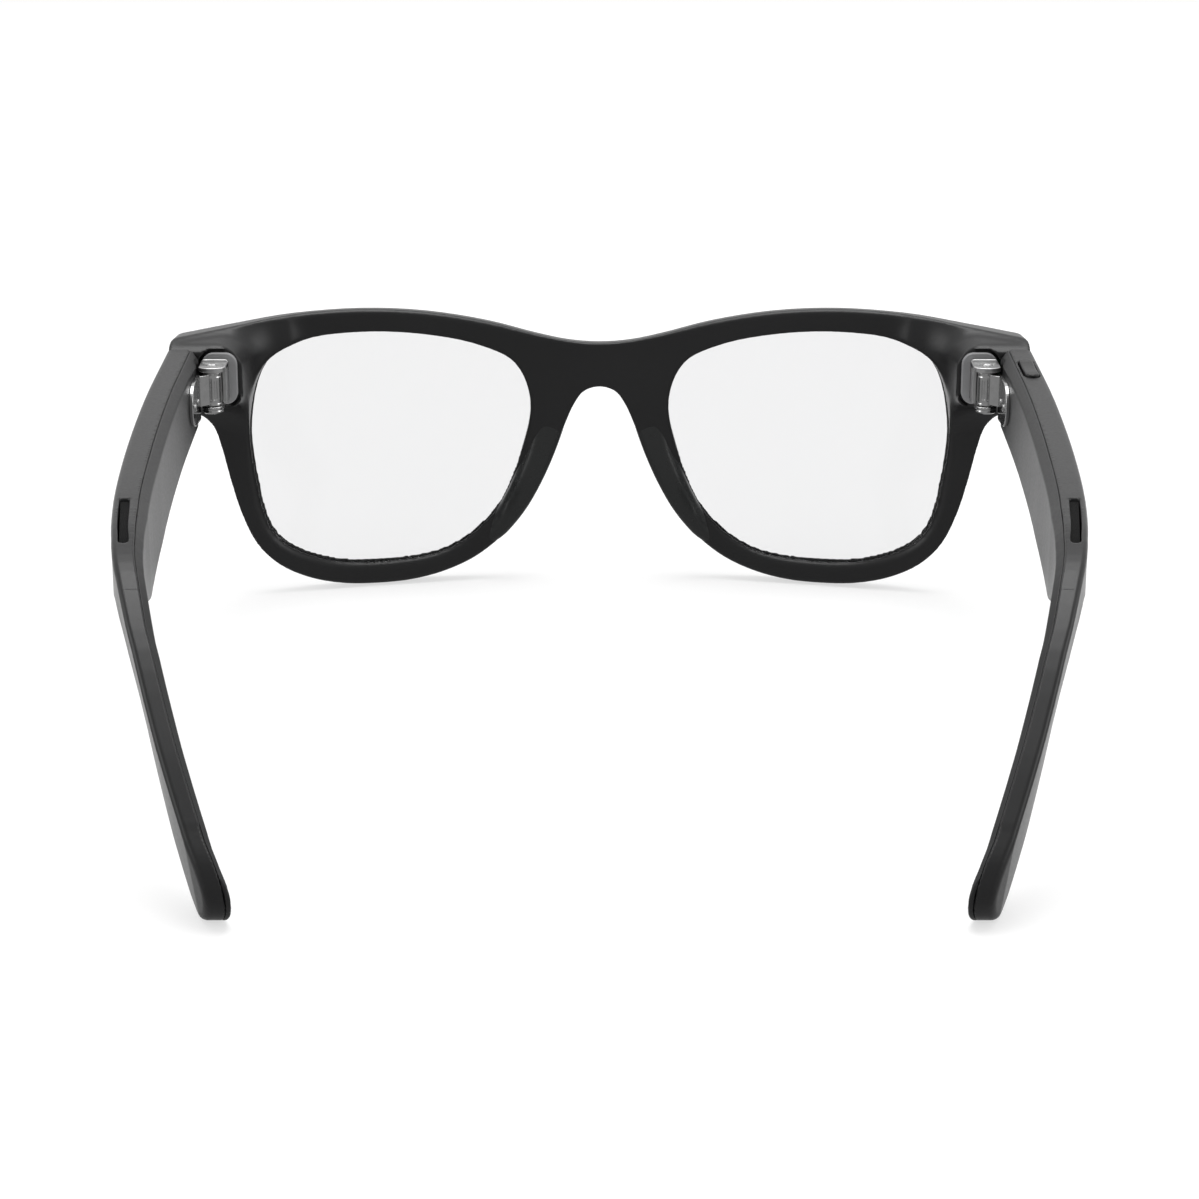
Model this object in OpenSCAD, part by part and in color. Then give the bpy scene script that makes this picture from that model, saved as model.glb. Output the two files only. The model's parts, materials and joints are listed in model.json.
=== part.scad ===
// Smart glasses standing open on the rim bottoms and the temple tips.
// +X is the wearer's right, +Y the wearer's forward, +Z up.
// The origin is the centre of the footprint, on the surface the glasses stand on.

/* [Front] */
// Width over the two end pieces
front_w = 142.4; // [138:0.2:146]
// Height of the front, rim bottom to brow
front_h = 47.8; // [46:0.2:50]
// Thickness of the rims, front to back
rim_t = 4.4; // [4:0.1:5]
// Radius of the wrap of the front, seen from above
wrap_r = 160; // [150:1:200]
// Lean of the front, top forward, in degrees
front_lean = 5; // [3:0.5:7]
// Thickness of the lenses
lens_t = 2; // [1.6:0.1:2.2]
// How far the lens edge reaches into the rim
lens_bite = 0.8; // [0.5:0.1:1]

/* [Temples] */
// Thickness of a temple at the hinge
temple_t = 5.3; // [5.2:0.1:5.6]
// Wall of the hollow temple shells
wall = 1; // [0.8:0.1:1.2]
// Gap between the end piece and the temple when open
seam_gap = 0.15; // [0.1:0.05:0.2]
// Length of the sound slot on top of each temple
slot_l = 16.2; // [12:0.2:20]
// Width of the sound slot
slot_w = 1.4; // [1:0.1:1.5]

/* [Hinges] */
// Distance of the hinge axes from the middle plane
hinge_x = 63.7; // [63.6:0.1:63.8]
// Outer radius of the hinge barrel
barrel_r = 1.6; // [1.4:0.1:1.7]
// Radius of the hinge screw's shank
pin_r = 0.7; // [0.6:0.05:0.8]
// Radial running clearance of the hinge screw
pin_play = 0.05; // [0.03:0.01:0.08]

/* [Controls] */
// Length of the capture button
button_l = 10; // [8:0.5:11]
// Width of the capture button
button_w = 2.2; // [2:0.1:2.4]
// How far the capture button stands proud, and travels
button_proud = 0.4; // [0.3:0.05:0.5]
// Travel of the power switch
power_travel = 2; // [1.5:0.1:2.5]

/* [Hidden] */
$fn = 48;

plastic = [0.17, 0.17, 0.18];
shade = [0.28, 0.28, 0.29];
steel = [0.78, 0.79, 0.8];
glass = [0.86, 0.9, 0.92, 0.45];
board = [0.1, 0.35, 0.22];
gold = [0.85, 0.68, 0.3];
far = 200;
play = 0.1;
tall = 60;

// ---- curves ----------------------------------------------------------

// One point of a centripetal Catmull-Rom curve between b and c
function knot(a, b) = sqrt(norm(b - a));
function bend(a, b, c, d, u) =
  let (t1 = knot(a, b), t2 = t1 + knot(b, c), t3 = t2 + knot(c, d), t = t1 + (t2 - t1) * u)
  let (ab = a * (t1 - t) / t1 + b * t / t1)
  let (bc = b * (t2 - t) / (t2 - t1) + c * (t - t1) / (t2 - t1))
  let (cd = c * (t3 - t) / (t3 - t2) + d * (t - t2) / (t3 - t2))
  let (abc = ab * (t2 - t) / t2 + bc * t / t2)
  let (bcd = bc * (t3 - t) / (t3 - t1) + cd * (t - t1) / (t3 - t1))
  abc * (t2 - t) / (t2 - t1) + bcd * (t - t1) / (t2 - t1);

// A smooth closed outline through its points
function smooth_loop(p, steps) = let (n = len(p)) [
  for (i = [0:n - 1], s = [0:steps - 1])
    bend(p[(i + n - 1) % n], p[i], p[(i + 1) % n], p[(i + 2) % n], s / steps)
];

// A smooth open line through its points
function smooth_line(p, steps) =
  let (n = len(p), q = concat([2 * p[0] - p[1]], p, [2 * p[n - 1] - p[n - 2]]))
  concat(
    [for (i = [0:n - 2], s = [0:steps - 1]) bend(q[i], q[i + 1], q[i + 2], q[i + 3], s / steps)],
    [p[n - 1]]
  );

// A clockwise outline moved outward by d along its own normals
function grow(p, d) = let (n = len(p)) [
  for (i = [0:n - 1])
    let (t = p[(i + 1) % n] - p[(i + n - 1) % n])
    p[i] + [-t[1], t[0]] * d / norm(t)
];

function reversed(p) = [for (i = [len(p) - 1:-1:0]) p[i]];
function mirrored(p) = [for (q = reversed(p)) [-q[0], q[1]]];

// ---- front, in its own plane: x across, v up the plane, w forward ------

front_x = front_w / 142.4;
front_v = front_h / 47.8;
function sized(p) = [for (q = p) [q[0] * front_x, q[1] * front_v]];

// Right half of the front's outline, from the middle of the brow to the middle of the bridge arch
brow_half = sized([
  [0, 41.4], [5.4, 41.8], [11, 43], [19.2, 45.2], [30, 47.1], [41, 47.8], [52, 47.3], [62, 45.9],
  [68.6, 44.9]
]);
side_half = sized([
  [70.8, 44.1], [71.2, 42], [71.2, 36.5], [70.9, 33.6], [69.6, 32], [67.2, 31.2], [65.2, 29],
  [63.9, 25], [62.7, 19.8], [60.9, 13.4], [58.5, 8.1], [55, 4.3], [50.2, 1.7], [44.5, 0.3], [38.5, 0],
  [32.5, 0.4], [27, 1.7], [21.8, 4], [17.2, 7.5], [13.2, 12.2], [10.2, 17.3], [7.9, 22.3], [6.1, 27],
  [4.4, 30.8], [2.7, 33], [0, 33.8]
]);
front_half = concat(brow_half, side_half);
half_n = len(front_half);
front_outline = smooth_loop(
  concat(front_half, mirrored([for (i = [1:half_n - 2]) front_half[i]])), 4);

// Right lens opening, from its outer side, clockwise seen from behind
opening = smooth_loop(sized([
  [59.3, 29.5], [58.4, 19.5], [55.2, 9.4], [47.5, 5], [37, 4.1], [26.5, 5.9], [18.7, 12], [13.6, 22.7],
  [12, 31.6], [14.6, 38], [20.5, 41.1], [30, 43.2], [41, 43.9], [50.5, 42.8], [56.6, 39.2]
]), 5);

// Depth of the front face behind the plane's zero, set so that the middle of the rims stands at w = 0
rim_x = 38;
front_w0 = rim_t / 2 + rim_x * rim_x / (2 * wrap_r);
function face_w(x) = front_w0 - wrap_r + sqrt(wrap_r * wrap_r - x * x);
face_xs = [for (i = [-20:20]) i * 3.75];

// A sheet that follows the wrap, from depth d0 to depth d1 behind the front face
module wrapped(d0, d1) {
  translate([0, 0, -far / 2])
    linear_extrude(far)
      polygon(concat(
        [for (x = face_xs) [x, face_w(x) - d0]],
        [for (x = reversed(face_xs)) [x, face_w(x) - d1]]));
}

// An outline in the front's plane, pushed right through it
module pushed(p) {
  translate([0, far / 2, 0]) rotate([90, 0, 0]) linear_extrude(far) polygon(p);
}

// An outline in the front's plane, cut out of the sheet from depth d0 to d1
module cut_sheet(p, d0, d1) {
  intersection() {
    pushed(p);
    wrapped(d0, d1);
  }
}

// Stands a piece of the front up at its lean, with its lowest edge on the surface
lift = -min([for (p = front_outline) p[1] * cos(front_lean) - face_w(p[0]) * sin(front_lean)]);
module lean() {
  translate([0, 0, lift]) rotate([-front_lean, 0, 0]) children();
}

// ---- temples, right one: y along, z up, depth measured inward ---------

temple_y0 = -16.5;
temple_front = temple_y0 - seam_gap;
tip_y = -154.2;

// Outer face of the right temple, seen from above: [y, x]
outer_face = smooth_line([
  [temple_front, front_w / 2], [-45, front_w / 2 - 0.2], [-75, front_w / 2 - 1.5],
  [-100, front_w / 2 - 3.6], [-115, front_w / 2 - 6], [-128, front_w / 2 - 10.3],
  [-141, front_w / 2 - 15.5], [tip_y - 1, front_w / 2 - 22]
], 5);
outer_table = reversed(outer_face);
function outer_x(y) = lookup(y, outer_table);

// Thickness of the whole temple, and of its outer shell
full_shares = [[-156, 0.64], [-128, 0.66], [-115, 0.79], [-100, 0.94], [-75, 1], [0, 1]];
function full_d(y) = temple_t * lookup(y, full_shares);
function seam_d(y) = full_d(y) * lookup(y, [[-156, 0.76], [-100, 0.73], [0, 0.72]]);

// Sideways tilt of the temple behind the ear, as a slope, and the height it tilts about
function tilt(y) = lookup(y, [[-127, 0.15], [-110, 0]]);
function tilt_z(y) = lookup(y, [[-150, 7], [-140, 15], [-130, 24.5], [-120, 31.5], [-110, 34.5]]);
slab_reach = 15;
slab_ys = concat([temple_front + 1], [for (p = outer_face) p[0]]);

// Side view of the temple: [y, z] along the top, round the tip and back along the bottom
top_line = smooth_line([
  [temple_front, 45], [-60, 42.7], [-100, 40.6], [-110, 39.6], [-119, 37], [-128, 31.6],
  [-140, 21], [-148.6, 12.6]
], 5);
tip_line = smooth_line([
  [-148.6, 12.6], [-152.9, 7.9], [tip_y, 4.6], [-152.8, 1.6], [-149.6, 0], [-146, 1.3]
], 6);
bottom_line = smooth_line([
  [-146, 1.3], [-139, 7.6], [-130, 17.6], [-122, 26.2], [-114.5, 30.4], [-108.5, 29.8], [-103.5, 27.8],
  [-98, 26.9], [-60, 29.4], [temple_front, 33]
], 5);
temple_side = concat(
  [for (i = [0:len(top_line) - 2]) top_line[i]],
  [for (i = [0:len(tip_line) - 2]) tip_line[i]],
  bottom_line);
tip_low = min([for (p = tip_line) p[1]]);
tip_end = min([for (p = tip_line) p[0]]);
top_table = reversed(top_line);
bottom_table = bottom_line;
function top_z(y) = lookup(y, top_table);
function bottom_z(y) = lookup(y, bottom_table);
function spread(y0, y1, n) = [for (i = [0:n]) y0 + (y1 - y0) * i / n];

// Puts a polygon drawn as [y, z] into place, right through the temple
module sideways(p) {
  rotate([90, 0, 90]) linear_extrude(far) polygon(p);
}

// A slice of the temple between two depths, given at each y of a list
module slice(ys, near, deep) {
  translate([0, 0, -tip_low])
    linear_extrude(tall)
      polygon(concat(
        [for (i = [0:len(ys) - 1]) [outer_x(ys[i]) - near[i], ys[i]]],
        [for (i = [len(ys) - 1:-1:0]) [outer_x(ys[i]) - deep[i], ys[i]]]));
}

// A piece inside the temple: y0 to y1, depth d0 to d1, z from a below the top to b below the top
module inside(y0, y1, d0, d1, a, b) {
  ys = spread(y0, y1, 6);
  intersection() {
    slice(ys, [for (y = ys) d0], [for (y = ys) d1]);
    sideways(concat(
      [for (y = ys) [y, top_z(y) - a]],
      [for (y = reversed(ys)) [y, top_z(y) - b]]));
  }
}

// ---- hinge ------------------------------------------------------------

hinge_y = temple_y0 - 3.3;
knuckle_r = 2.5;
hinge_low = 35.1;
hinge_high = 43;
knuckle_gap = 0.15;
leaf_low = 36.4;
leaf_high = 42.05;
leaf_t = 0.7;
leaf_bottom = 34.8;
leaf_top = 42;
inner_x = front_w / 2 - temple_t;
leaf_back = -32;
leaf_screw_ys = [-25.4, -29.2];
leaf_screw_z = 38;
screw_r = 0.55;
screw_head_r = 0.85;
screw_head_h = 0.4;
screw_slot_w = 0.24;
bracket_screw_zs = [37.6, 41.2];
bracket_t = 0.8;
flange_h = 8.4;
bracket_x0 = hinge_x - 2.4;
web_t = 0.7;
bay_plate_y = temple_y0 + 1.2;
bay_x0 = 59.9;
bay_x1 = inner_x - 0.15;
bay_z0 = 35.6;
bay_z1 = 44.3;
bay_r = 2;
pocket_x = 61;
pocket_z = 36.2;
pocket_w = 7;
pocket_depth = 4;

// ---- everything is moved so that the footprint's centre is the origin --

front_most = max([for (p = front_outline) face_w(p[0]) * cos(front_lean) + p[1] * sin(front_lean)]);
shift_y = -(front_most + tip_end) / 2;
module placed() {
  translate([0, shift_y, 0]) children();
}
module placed_left() {
  placed() mirror([1, 0, 0]) children();
}

// ---- front pieces -------------------------------------------------------

eye_x = 65.4 * front_x;
eye_v = 38.4 * front_v;
eye_bezel_r = 3.9;
eye_window_r = 2.6;
bezel_depth = 1.2;
window_depth = 0.25;
window_t = 0.8;
lens_depth = 1.25;

// A round piece at the front corner, square to the front's plane, between two depths of the wrap
module corner_round(r, d0, d1) {
  intersection() {
    translate([eye_x, 0, eye_v]) rotate([90, 0, 0]) cylinder(r = r, h = tall, center = true);
    wrapped(d0, d1);
  }
}

// The thick end piece behind the rim, right side
module end_block() {
  intersection() {
    pushed(front_outline);
    translate([0, 0, -far / 2])
      linear_extrude(far)
        polygon(concat(
          smooth_line([
            [53.4, -6.8], [55.6, -8.3], [57.3, -10.8], [58.4, -13.6], [59.1, -16.8], [59.6, -21]
          ], 4),
          [[72, -21], [72, face_w(72) - 1]],
          [for (x = [69:-3:54]) [x, face_w(x) - 1]]));
    sideways(smooth_line([
      [0, 50], [-5, 46.2], [-12, 44.9], [-20.4, 43.3], [-21, 43.2], [-21, 40], [-21, 36], [-21, 34],
      [-20.4, 33.5], [-16.8, 33.3], [-13.5, 32.2], [-11, 30.1], [-8.6, 27.3], [-5, 24.4]
    ], 3));
  }
}

// Pocket behind the corner bezel, and the recess for the plate that closes it
module end_pocket() {
  translate([pocket_x, bay_plate_y, pocket_z]) cube([pocket_w, pocket_depth, pocket_w]);
  bay_recess(0.15, 5);
}

module bay_recess(extra, depth) {
  translate([0, bay_plate_y, 0])
    rotate([90, 0, 0])
      linear_extrude(depth)
        rounded_box(bay_x0 - extra, bay_z0 - extra, bay_x1 + extra, bay_z1 + extra, bay_r);
}

// A rectangle with round corners, drawn with circles so that it stays exact
module rounded_box(x0, z0, x1, z1, r) {
  translate([x0 + r, z0]) square([x1 - x0 - 2 * r, z1 - z0]);
  translate([x0, z0 + r]) square([x1 - x0, z1 - z0 - 2 * r]);
  for (x = [x0 + r, x1 - r], z = [z0 + r, z1 - r]) translate([x, z]) circle(r);
}

// Flat cable along the brow, this far below the brow's edge and behind the front face
flex_half = smooth_line(brow_half, 4);
flex_reach = 63;
flex_below = 1.4;
flex_wide = 0.8;
flex_depth = 2.4;
flex_t = 0.3;
module flex_band(gap) {
  line = [for (p = flex_half) if (p[0] < flex_reach) p];
  both = concat([for (p = mirrored(line)) p], [for (i = [1:len(line) - 1]) line[i]]);
  cut_sheet(concat(
    [for (p = both) [p[0], p[1] - flex_below + gap]],
    [for (p = reversed(both)) [p[0], p[1] - flex_below - flex_wide - gap]]),
    flex_depth - gap, flex_depth + flex_t + gap);
}

module front_frame() {
  color(plastic) placed() difference() {
    lean() {
      cut_sheet(front_outline, 0, rim_t);
      end_block();
      mirror([1, 0, 0]) end_block();
    }
    translate([-far / 2, temple_y0 - 20, 0]) cube([far, 20, tall]);
    lean() {
      flex_band(play);
      for (side = [0, 1]) mirror([side, 0, 0]) {
        pushed(opening);
        cut_sheet(grow(opening, lens_bite + play / 2), lens_depth - play / 2, lens_depth + lens_t + play / 2);
        corner_round(eye_bezel_r, -1, bezel_depth);
        corner_round(eye_window_r, 0, 9);
      }
      contact_pins();
      microphone_hole();
    }
    for (side = [0, 1]) mirror([side, 0, 0]) {
      end_pocket();
    }
  }
}

module lens_right() {
  color(glass) placed() lean() cut_sheet(grow(opening, lens_bite), lens_depth, lens_depth + lens_t);
}

module lens_left() {
  color(glass) placed_left() lean() cut_sheet(grow(opening, lens_bite), lens_depth, lens_depth + lens_t);
}

// Nose pad: a leaf shape behind the nasal side of the rim, right side
pad_leaf = smooth_loop(sized([
  [7.3, 25.6], [9, 24.4], [12.4, 18.4], [16.6, 11.6], [18.4, 8.2], [16.4, 8.8],
  [13.2, 12.6], [10.4, 17.6], [8, 22.6]
]), 4);
pad_t = 2.6;
module nose_pad_right() {
  color(shade) placed() lean() cut_sheet(pad_leaf, rim_t, rim_t + pad_t);
}

module nose_pad_left() {
  color(shade) placed_left() lean() cut_sheet(pad_leaf, rim_t, rim_t + pad_t);
}

module eye_bezel() {
  lean() difference() {
    corner_round(eye_bezel_r, 0, bezel_depth);
    corner_round(eye_window_r, -1, 3);
  }
}

module camera_bezel() {
  color("black") placed_left() eye_bezel();
}

module led_bezel() {
  color("black") placed() eye_bezel();
}

module camera_window() {
  color(glass) placed_left() lean() corner_round(eye_window_r, window_depth, window_depth + window_t);
}

module led_window() {
  color("white") placed() lean() corner_round(eye_window_r, window_depth, window_depth + window_t);
}

// Camera: lens barrel behind the window, on a square sensor block in the pocket
eye_back_y = -13.6;
eye_start = 1.4;
sensor = [5, 2.1, 5.2];
module camera_module() {
  color([0.08, 0.08, 0.1]) placed_left() {
    lean() corner_round(eye_window_r - 0.3, eye_start, 8.2);
    translate([62.9, eye_back_y, 37]) cube(sensor);
  }
}

// Light: a light guide behind the window, on a small board in the pocket
module led_board() {
  color(board) placed() {
    lean() corner_round(1.2, eye_start, 8.6);
    translate([62.2, eye_back_y, 36.8]) cube([5.4, 0.8, 5.8]);
    translate([64.8, eye_back_y + 0.7, 38.4]) cube([1.2, 1.4, 1.4]);
  }
}

module brow_flex() {
  color([0.75, 0.45, 0.15]) placed() lean() flex_band(0);
}

// Microphone under the bridge, over its sound hole
mic_v = 36.4 * front_v;
mic_depth = 2.6;
mic_size = [3, 1, 1.8];
sound_hole_r = 0.4;
module microphone_hole() {
  microphone_block(play);
  translate([0, front_w0 - mic_depth, mic_v - 4]) cylinder(r = sound_hole_r, h = 5);
}

module microphone_block(extra) {
  translate([-mic_size[0] / 2 - extra, front_w0 - mic_depth - mic_size[1] / 2 - extra, mic_v - extra])
    cube(mic_size + 2 * [extra, extra, extra]);
}

module bridge_microphone() {
  color(steel) placed() lean() microphone_block(0);
}

// Four spring contacts under the bridge arch, for the charging case
contact_r = 0.55;
contact_x = 1.5;
contact_depths = [1.1, 3.3];
contact_low = 33.2 * front_v;
contact_trim = 0.9;
module contact_pins() {
  for (x = [-contact_x, contact_x], d = contact_depths)
    translate([x, front_w0 - d, contact_low]) cylinder(r = contact_r, h = 2.4);
}

module charging_contacts() {
  color(gold) placed() lean() difference() {
    contact_pins();
    translate([-5, -10, contact_low - 1]) cube([10, 20, 1 + contact_trim]);
  }
}

// ---- hinge pieces, right side ------------------------------------------

module bay_plate() {
  difference() {
    bay_recess(0, 1.2);
    bracket_holes();
  }
}

module hinge_bay_plate_right() {
  color([0.46, 0.46, 0.47]) placed() bay_plate();
}

module hinge_bay_plate_left() {
  color([0.46, 0.46, 0.47]) placed_left() bay_plate();
}

// One round knuckle joined to the bracket's back plate
module knuckle(r, z0, z1) {
  translate([hinge_x, hinge_y, z0]) cylinder(r = r, h = z1 - z0);
  translate([hinge_x - r, hinge_y, z0]) cube([2 * r - 0.6, temple_y0 - hinge_y, z1 - z0]);
}

// Back plate, a web beside the barrel, and the two outer knuckles
module bracket() {
  flange_x1 = inner_x - 0.3;
  web_back = hinge_y + 0.25;
  difference() {
    union() {
      translate([bracket_x0, temple_y0 - bracket_t, hinge_low])
        cube([flange_x1 - bracket_x0, bracket_t, flange_h]);
      translate([bracket_x0, web_back, hinge_low])
        cube([web_t, temple_y0 - web_back, hinge_high - hinge_low]);
      knuckle(knuckle_r, leaf_high + knuckle_gap, hinge_high);
      knuckle(barrel_r + 0.1, hinge_low, leaf_low - knuckle_gap);
    }
    translate([hinge_x, hinge_y, hinge_low - 1]) cylinder(r = pin_r + pin_play, h = 12);
    bracket_holes();
  }
}

bracket_screw_l = 2.2;
module bracket_holes() {
  for (z = bracket_screw_zs)
    translate([hinge_x, temple_y0 + bracket_screw_l, z]) rotate([90, 0, 0]) cylinder(r = screw_r, h = 4);
}

module hinge_bracket_right() {
  color(steel) placed() bracket();
}

module hinge_bracket_left() {
  color(steel) placed_left() bracket();
}

module bracket_screws() {
  head_y = -temple_y0 + bracket_t;
  shank_l = bracket_screw_l + bracket_t;
  for (z = bracket_screw_zs) translate([hinge_x, 0, z]) rotate([90, 0, 0]) difference() {
    union() {
      translate([0, 0, head_y - shank_l]) cylinder(r = screw_r - 0.02, h = shank_l);
      translate([0, 0, head_y]) cylinder(r = screw_head_r, h = screw_head_h);
    }
    translate([-1, -screw_slot_w / 2, head_y + screw_head_h / 2]) cube([2, screw_slot_w, 1]);
  }
}

module bracket_screws_right() {
  color(steel) placed() bracket_screws();
}

module bracket_screws_left() {
  color(steel) placed_left() bracket_screws();
}

pin_head_r = 1.3;
pin_head_h = 0.5;

// The hinge screw is the pin: head above the top knuckle, shank down to the lowest knuckle
module hinge_screw() {
  translate([hinge_x, hinge_y, 0]) difference() {
    union() {
      translate([0, 0, hinge_low + 0.1]) cylinder(r = pin_r, h = hinge_high - hinge_low);
      translate([0, 0, hinge_high]) cylinder(r = pin_head_r, h = pin_head_h);
    }
    translate([-2, -screw_slot_w / 2, hinge_high + pin_head_h / 2]) cube([4, screw_slot_w, 1]);
  }
}

module hinge_screw_right() {
  color(steel) placed() hinge_screw();
}

module hinge_screw_left() {
  color(steel) placed_left() hinge_screw();
}

// Leaf on the temple: a D-shaped plate and the barrel between the knuckles
leaf_mid = (leaf_top + leaf_bottom) / 2;
leaf_half = (leaf_top - leaf_bottom) / 2;
leaf_nose = 4;
leaf_front = hinge_y - 2.8;
module leaf_plate(extra) {
  intersection() {
    sideways(concat(
      [[leaf_front + extra, leaf_mid - leaf_half - extra]],
      [for (a = [-90:10:90])
        [leaf_back + leaf_nose - (leaf_nose + extra) * cos(a), leaf_mid + (leaf_half + extra) * sin(a)]],
      [[leaf_front + extra, leaf_mid + leaf_half + extra]]));
    translate([inner_x - leaf_t - extra, -far / 2, 0]) cube([leaf_t + 2 * extra, far, 60]);
  }
}

module leaf() {
  difference() {
    union() {
      translate([hinge_x, hinge_y, leaf_low]) cylinder(r = barrel_r, h = leaf_high - leaf_low);
      translate([hinge_x, hinge_y - 4, leaf_low + 0.2])
        cube([inner_x - hinge_x - 0.1, 3.6, leaf_high - leaf_low - 0.4]);
      leaf_plate(0);
    }
    translate([hinge_x, hinge_y, hinge_low]) cylinder(r = pin_r + pin_play, h = 12);
    leaf_screw_holes();
  }
}

module leaf_screw_holes() {
  for (y = leaf_screw_ys)
    translate([inner_x - 1, y, leaf_screw_z]) rotate([0, 90, 0]) cylinder(r = screw_r, h = 4.4);
}

module hinge_leaf_right() {
  color(steel) placed() leaf();
}

module hinge_leaf_left() {
  color(steel) placed_left() leaf();
}

module leaf_screws() {
  for (y = leaf_screw_ys) translate([inner_x, y, leaf_screw_z]) rotate([0, 90, 0]) difference() {
    union() {
      translate([0, 0, -leaf_t]) cylinder(r = screw_r - 0.02, h = 3.8);
      translate([0, 0, -leaf_t - screw_head_h]) cylinder(r = screw_head_r, h = screw_head_h);
    }
    translate([-screw_slot_w / 2, -1, -leaf_t - screw_head_h - 1])
      cube([screw_slot_w, 2, 1 + screw_head_h / 2]);
  }
}

module leaf_screws_right() {
  color(steel) placed() leaf_screws();
}

module leaf_screws_left() {
  color(steel) placed_left() leaf_screws();
}

// ---- temple shells -------------------------------------------------------

cavity_y0 = -36;
cavity_y1 = -116;
slot_y0 = -96;
slot_depth = 1.65;
port_y0 = -88;
port_y1 = -94;
port_depth = 2;
temple_mic_y = -48;
slot_h = 2.5;
port_h = 3;

// A layer of the temple, from a share of the seam's depth to the seam or to the whole depth
module temple_layer(near, whole) {
  intersection() {
    slab([for (y = slab_ys) near * seam_d(y)], [for (y = slab_ys) whole ? full_d(y) : seam_d(y)]);
    sideways(temple_side);
  }
}

// A slab between two depths, given at each y of the outer face, leaning by the temple's tilt
module slab(near, deep) {
  n = len(slab_ys);
  polyhedron(
    points = [
      for (i = [0:n - 1], d = [near[i], deep[i]], h = [-slab_reach, slab_reach])
        let (y = slab_ys[i])
        [outer_x(y) - d + tilt(y) * h, y, tilt_z(y) + h]
    ],
    faces = concat(
      [[1, 3, 2, 0]],
      [for (i = [0:n - 2]) each [
        [4 * i + 5, 4 * i + 1, 4 * i], [4 * i + 4, 4 * i + 5, 4 * i],
        [4 * i + 3, 4 * i + 7, 4 * i + 2], [4 * i + 7, 4 * i + 6, 4 * i + 2],
        [4 * i + 7, 4 * i + 3, 4 * i + 1], [4 * i + 5, 4 * i + 7, 4 * i + 1],
        [4 * i + 2, 4 * i + 6, 4 * i], [4 * i + 6, 4 * i + 4, 4 * i]
      ]],
      [[4 * n - 2, 4 * n - 1, 4 * n - 3, 4 * n - 4]]));
}

module hinge_notch() {
  translate([hinge_x, hinge_y, 20]) cylinder(r = knuckle_r + 0.2, h = 40);
}

// Hollow of the outer shell, open towards the inner shell
module cavity() {
  ys = spread(cavity_y0, cavity_y1, 16);
  intersection() {
    slice(ys, [for (y = ys) wall], [for (y = ys) full_d(y) + 1]);
    sideways(concat(
      [for (y = ys) [y, top_z(y) - wall - 0.1]],
      [for (y = reversed(ys)) [y, bottom_z(y) + wall + 0.1]]));
  }
}

// Straight core wire in the ear part, in a bore of the outer shell open to its hollow
wire_start = [outer_x(-119) - 1.9, -119, 32.6];
wire_end = [outer_x(-146) - 1.4, -146, 8.6];
wire_r = 0.6;
module wire_run(r, extra) {
  d = wire_end - wire_start;
  translate(wire_start) rotate([0, acos(d[2] / norm(d)), atan2(d[1], d[0])])
    translate([0, 0, -extra]) cylinder(r = r, h = norm(d) + extra);
}

module slot_cut(l, w, y0, depth, h) {
  translate([outer_x(y0 - l) - depth, y0 - l, top_z(y0 - l / 2) - h])
    rotate([0, 0, -atan2(outer_x(y0) - outer_x(y0 - l), l)])
      translate([-w / 2, 0, 0]) cube([w, l, h + 3]);
}

module port_cut(w, h) {
  translate([outer_x(port_y1) - port_depth - w / 2, port_y1, bottom_z(port_y1) - 2])
    cube([w, port_y0 - port_y1, 2 + h]);
}

module mic_port() {
  translate([outer_x(temple_mic_y) - 2, temple_mic_y, bottom_z(temple_mic_y) - 1])
    cylinder(r = sound_hole_r, h = 4);
}

// Shapes of the two controls, in their own frames
switch_w = 1.8;
switch_low = 3.9;
button_y = -28.7;
button_x = 69.2;
button_gap = 0.15;
pocket_low = 2.2;
top_slope = atan((45 - 42.7) / 43.4);
module button_frame() {
  translate([button_x, button_y, top_z(button_y)]) rotate([top_slope, 0, 0]) children();
}

module pill(l, w, h) {
  translate([-w / 2, -(l - w) / 2, 0]) cube([w, l - w, h]);
  for (y = [-1, 1]) translate([0, y * (l - w) / 2, 0]) cylinder(r = w / 2, h = h);
}

power_y = -40;
power_depth = 1.9;
power_w = 1.6;
power_l = 4;
power_gap = 0.2;
power_proud = 0.35;
rib_w = 0.4;
module power_frame() {
  translate([outer_x(power_y) - power_depth, power_y, bottom_z(power_y)])
    rotate([top_slope, 0, 0]) children();
}

module button_pocket() {
  button_frame() translate([0, 0, -pocket_low])
    pill(button_l + 2 * button_gap, button_w + 2 * button_gap, 5);
}

module outer_shell() {
  difference() {
    temple_layer(0, false);
    cavity();
    wire_run(wire_r + 0.04, 4);
    slot_cut(slot_l, slot_w, slot_y0, slot_depth, slot_h);
    port_cut(slot_w, port_h);
    mic_port();
    leaf_screw_holes();
  }
}

module inner_shell() {
  difference() {
    temple_layer(1, true);
    leaf_plate(play / 2);
    leaf_screw_holes();
    hinge_notch();
  }
}

module temple_outer_shell_right() {
  color(plastic) placed() difference() {
    outer_shell();
    button_pocket();
    button_frame() translate([0, 0, -switch_low - play]) pill(5, switch_w + 2 * play, 4);
  }
}

module temple_outer_shell_left() {
  color(plastic) placed_left() difference() {
    outer_shell();
    power_frame()
      translate([-power_w / 2 - power_gap, -power_l / 2 - power_gap, -1])
        cube([power_w + 2 * power_gap, power_l + power_travel + 2 * power_gap, 4]);
  }
}

module temple_inner_shell_right() {
  color(shade) placed() difference() {
    inner_shell();
    button_pocket();
  }
}

module temple_inner_shell_left() {
  color(shade) placed_left() inner_shell();
}

// ---- pieces inside the temples -------------------------------------------

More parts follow.
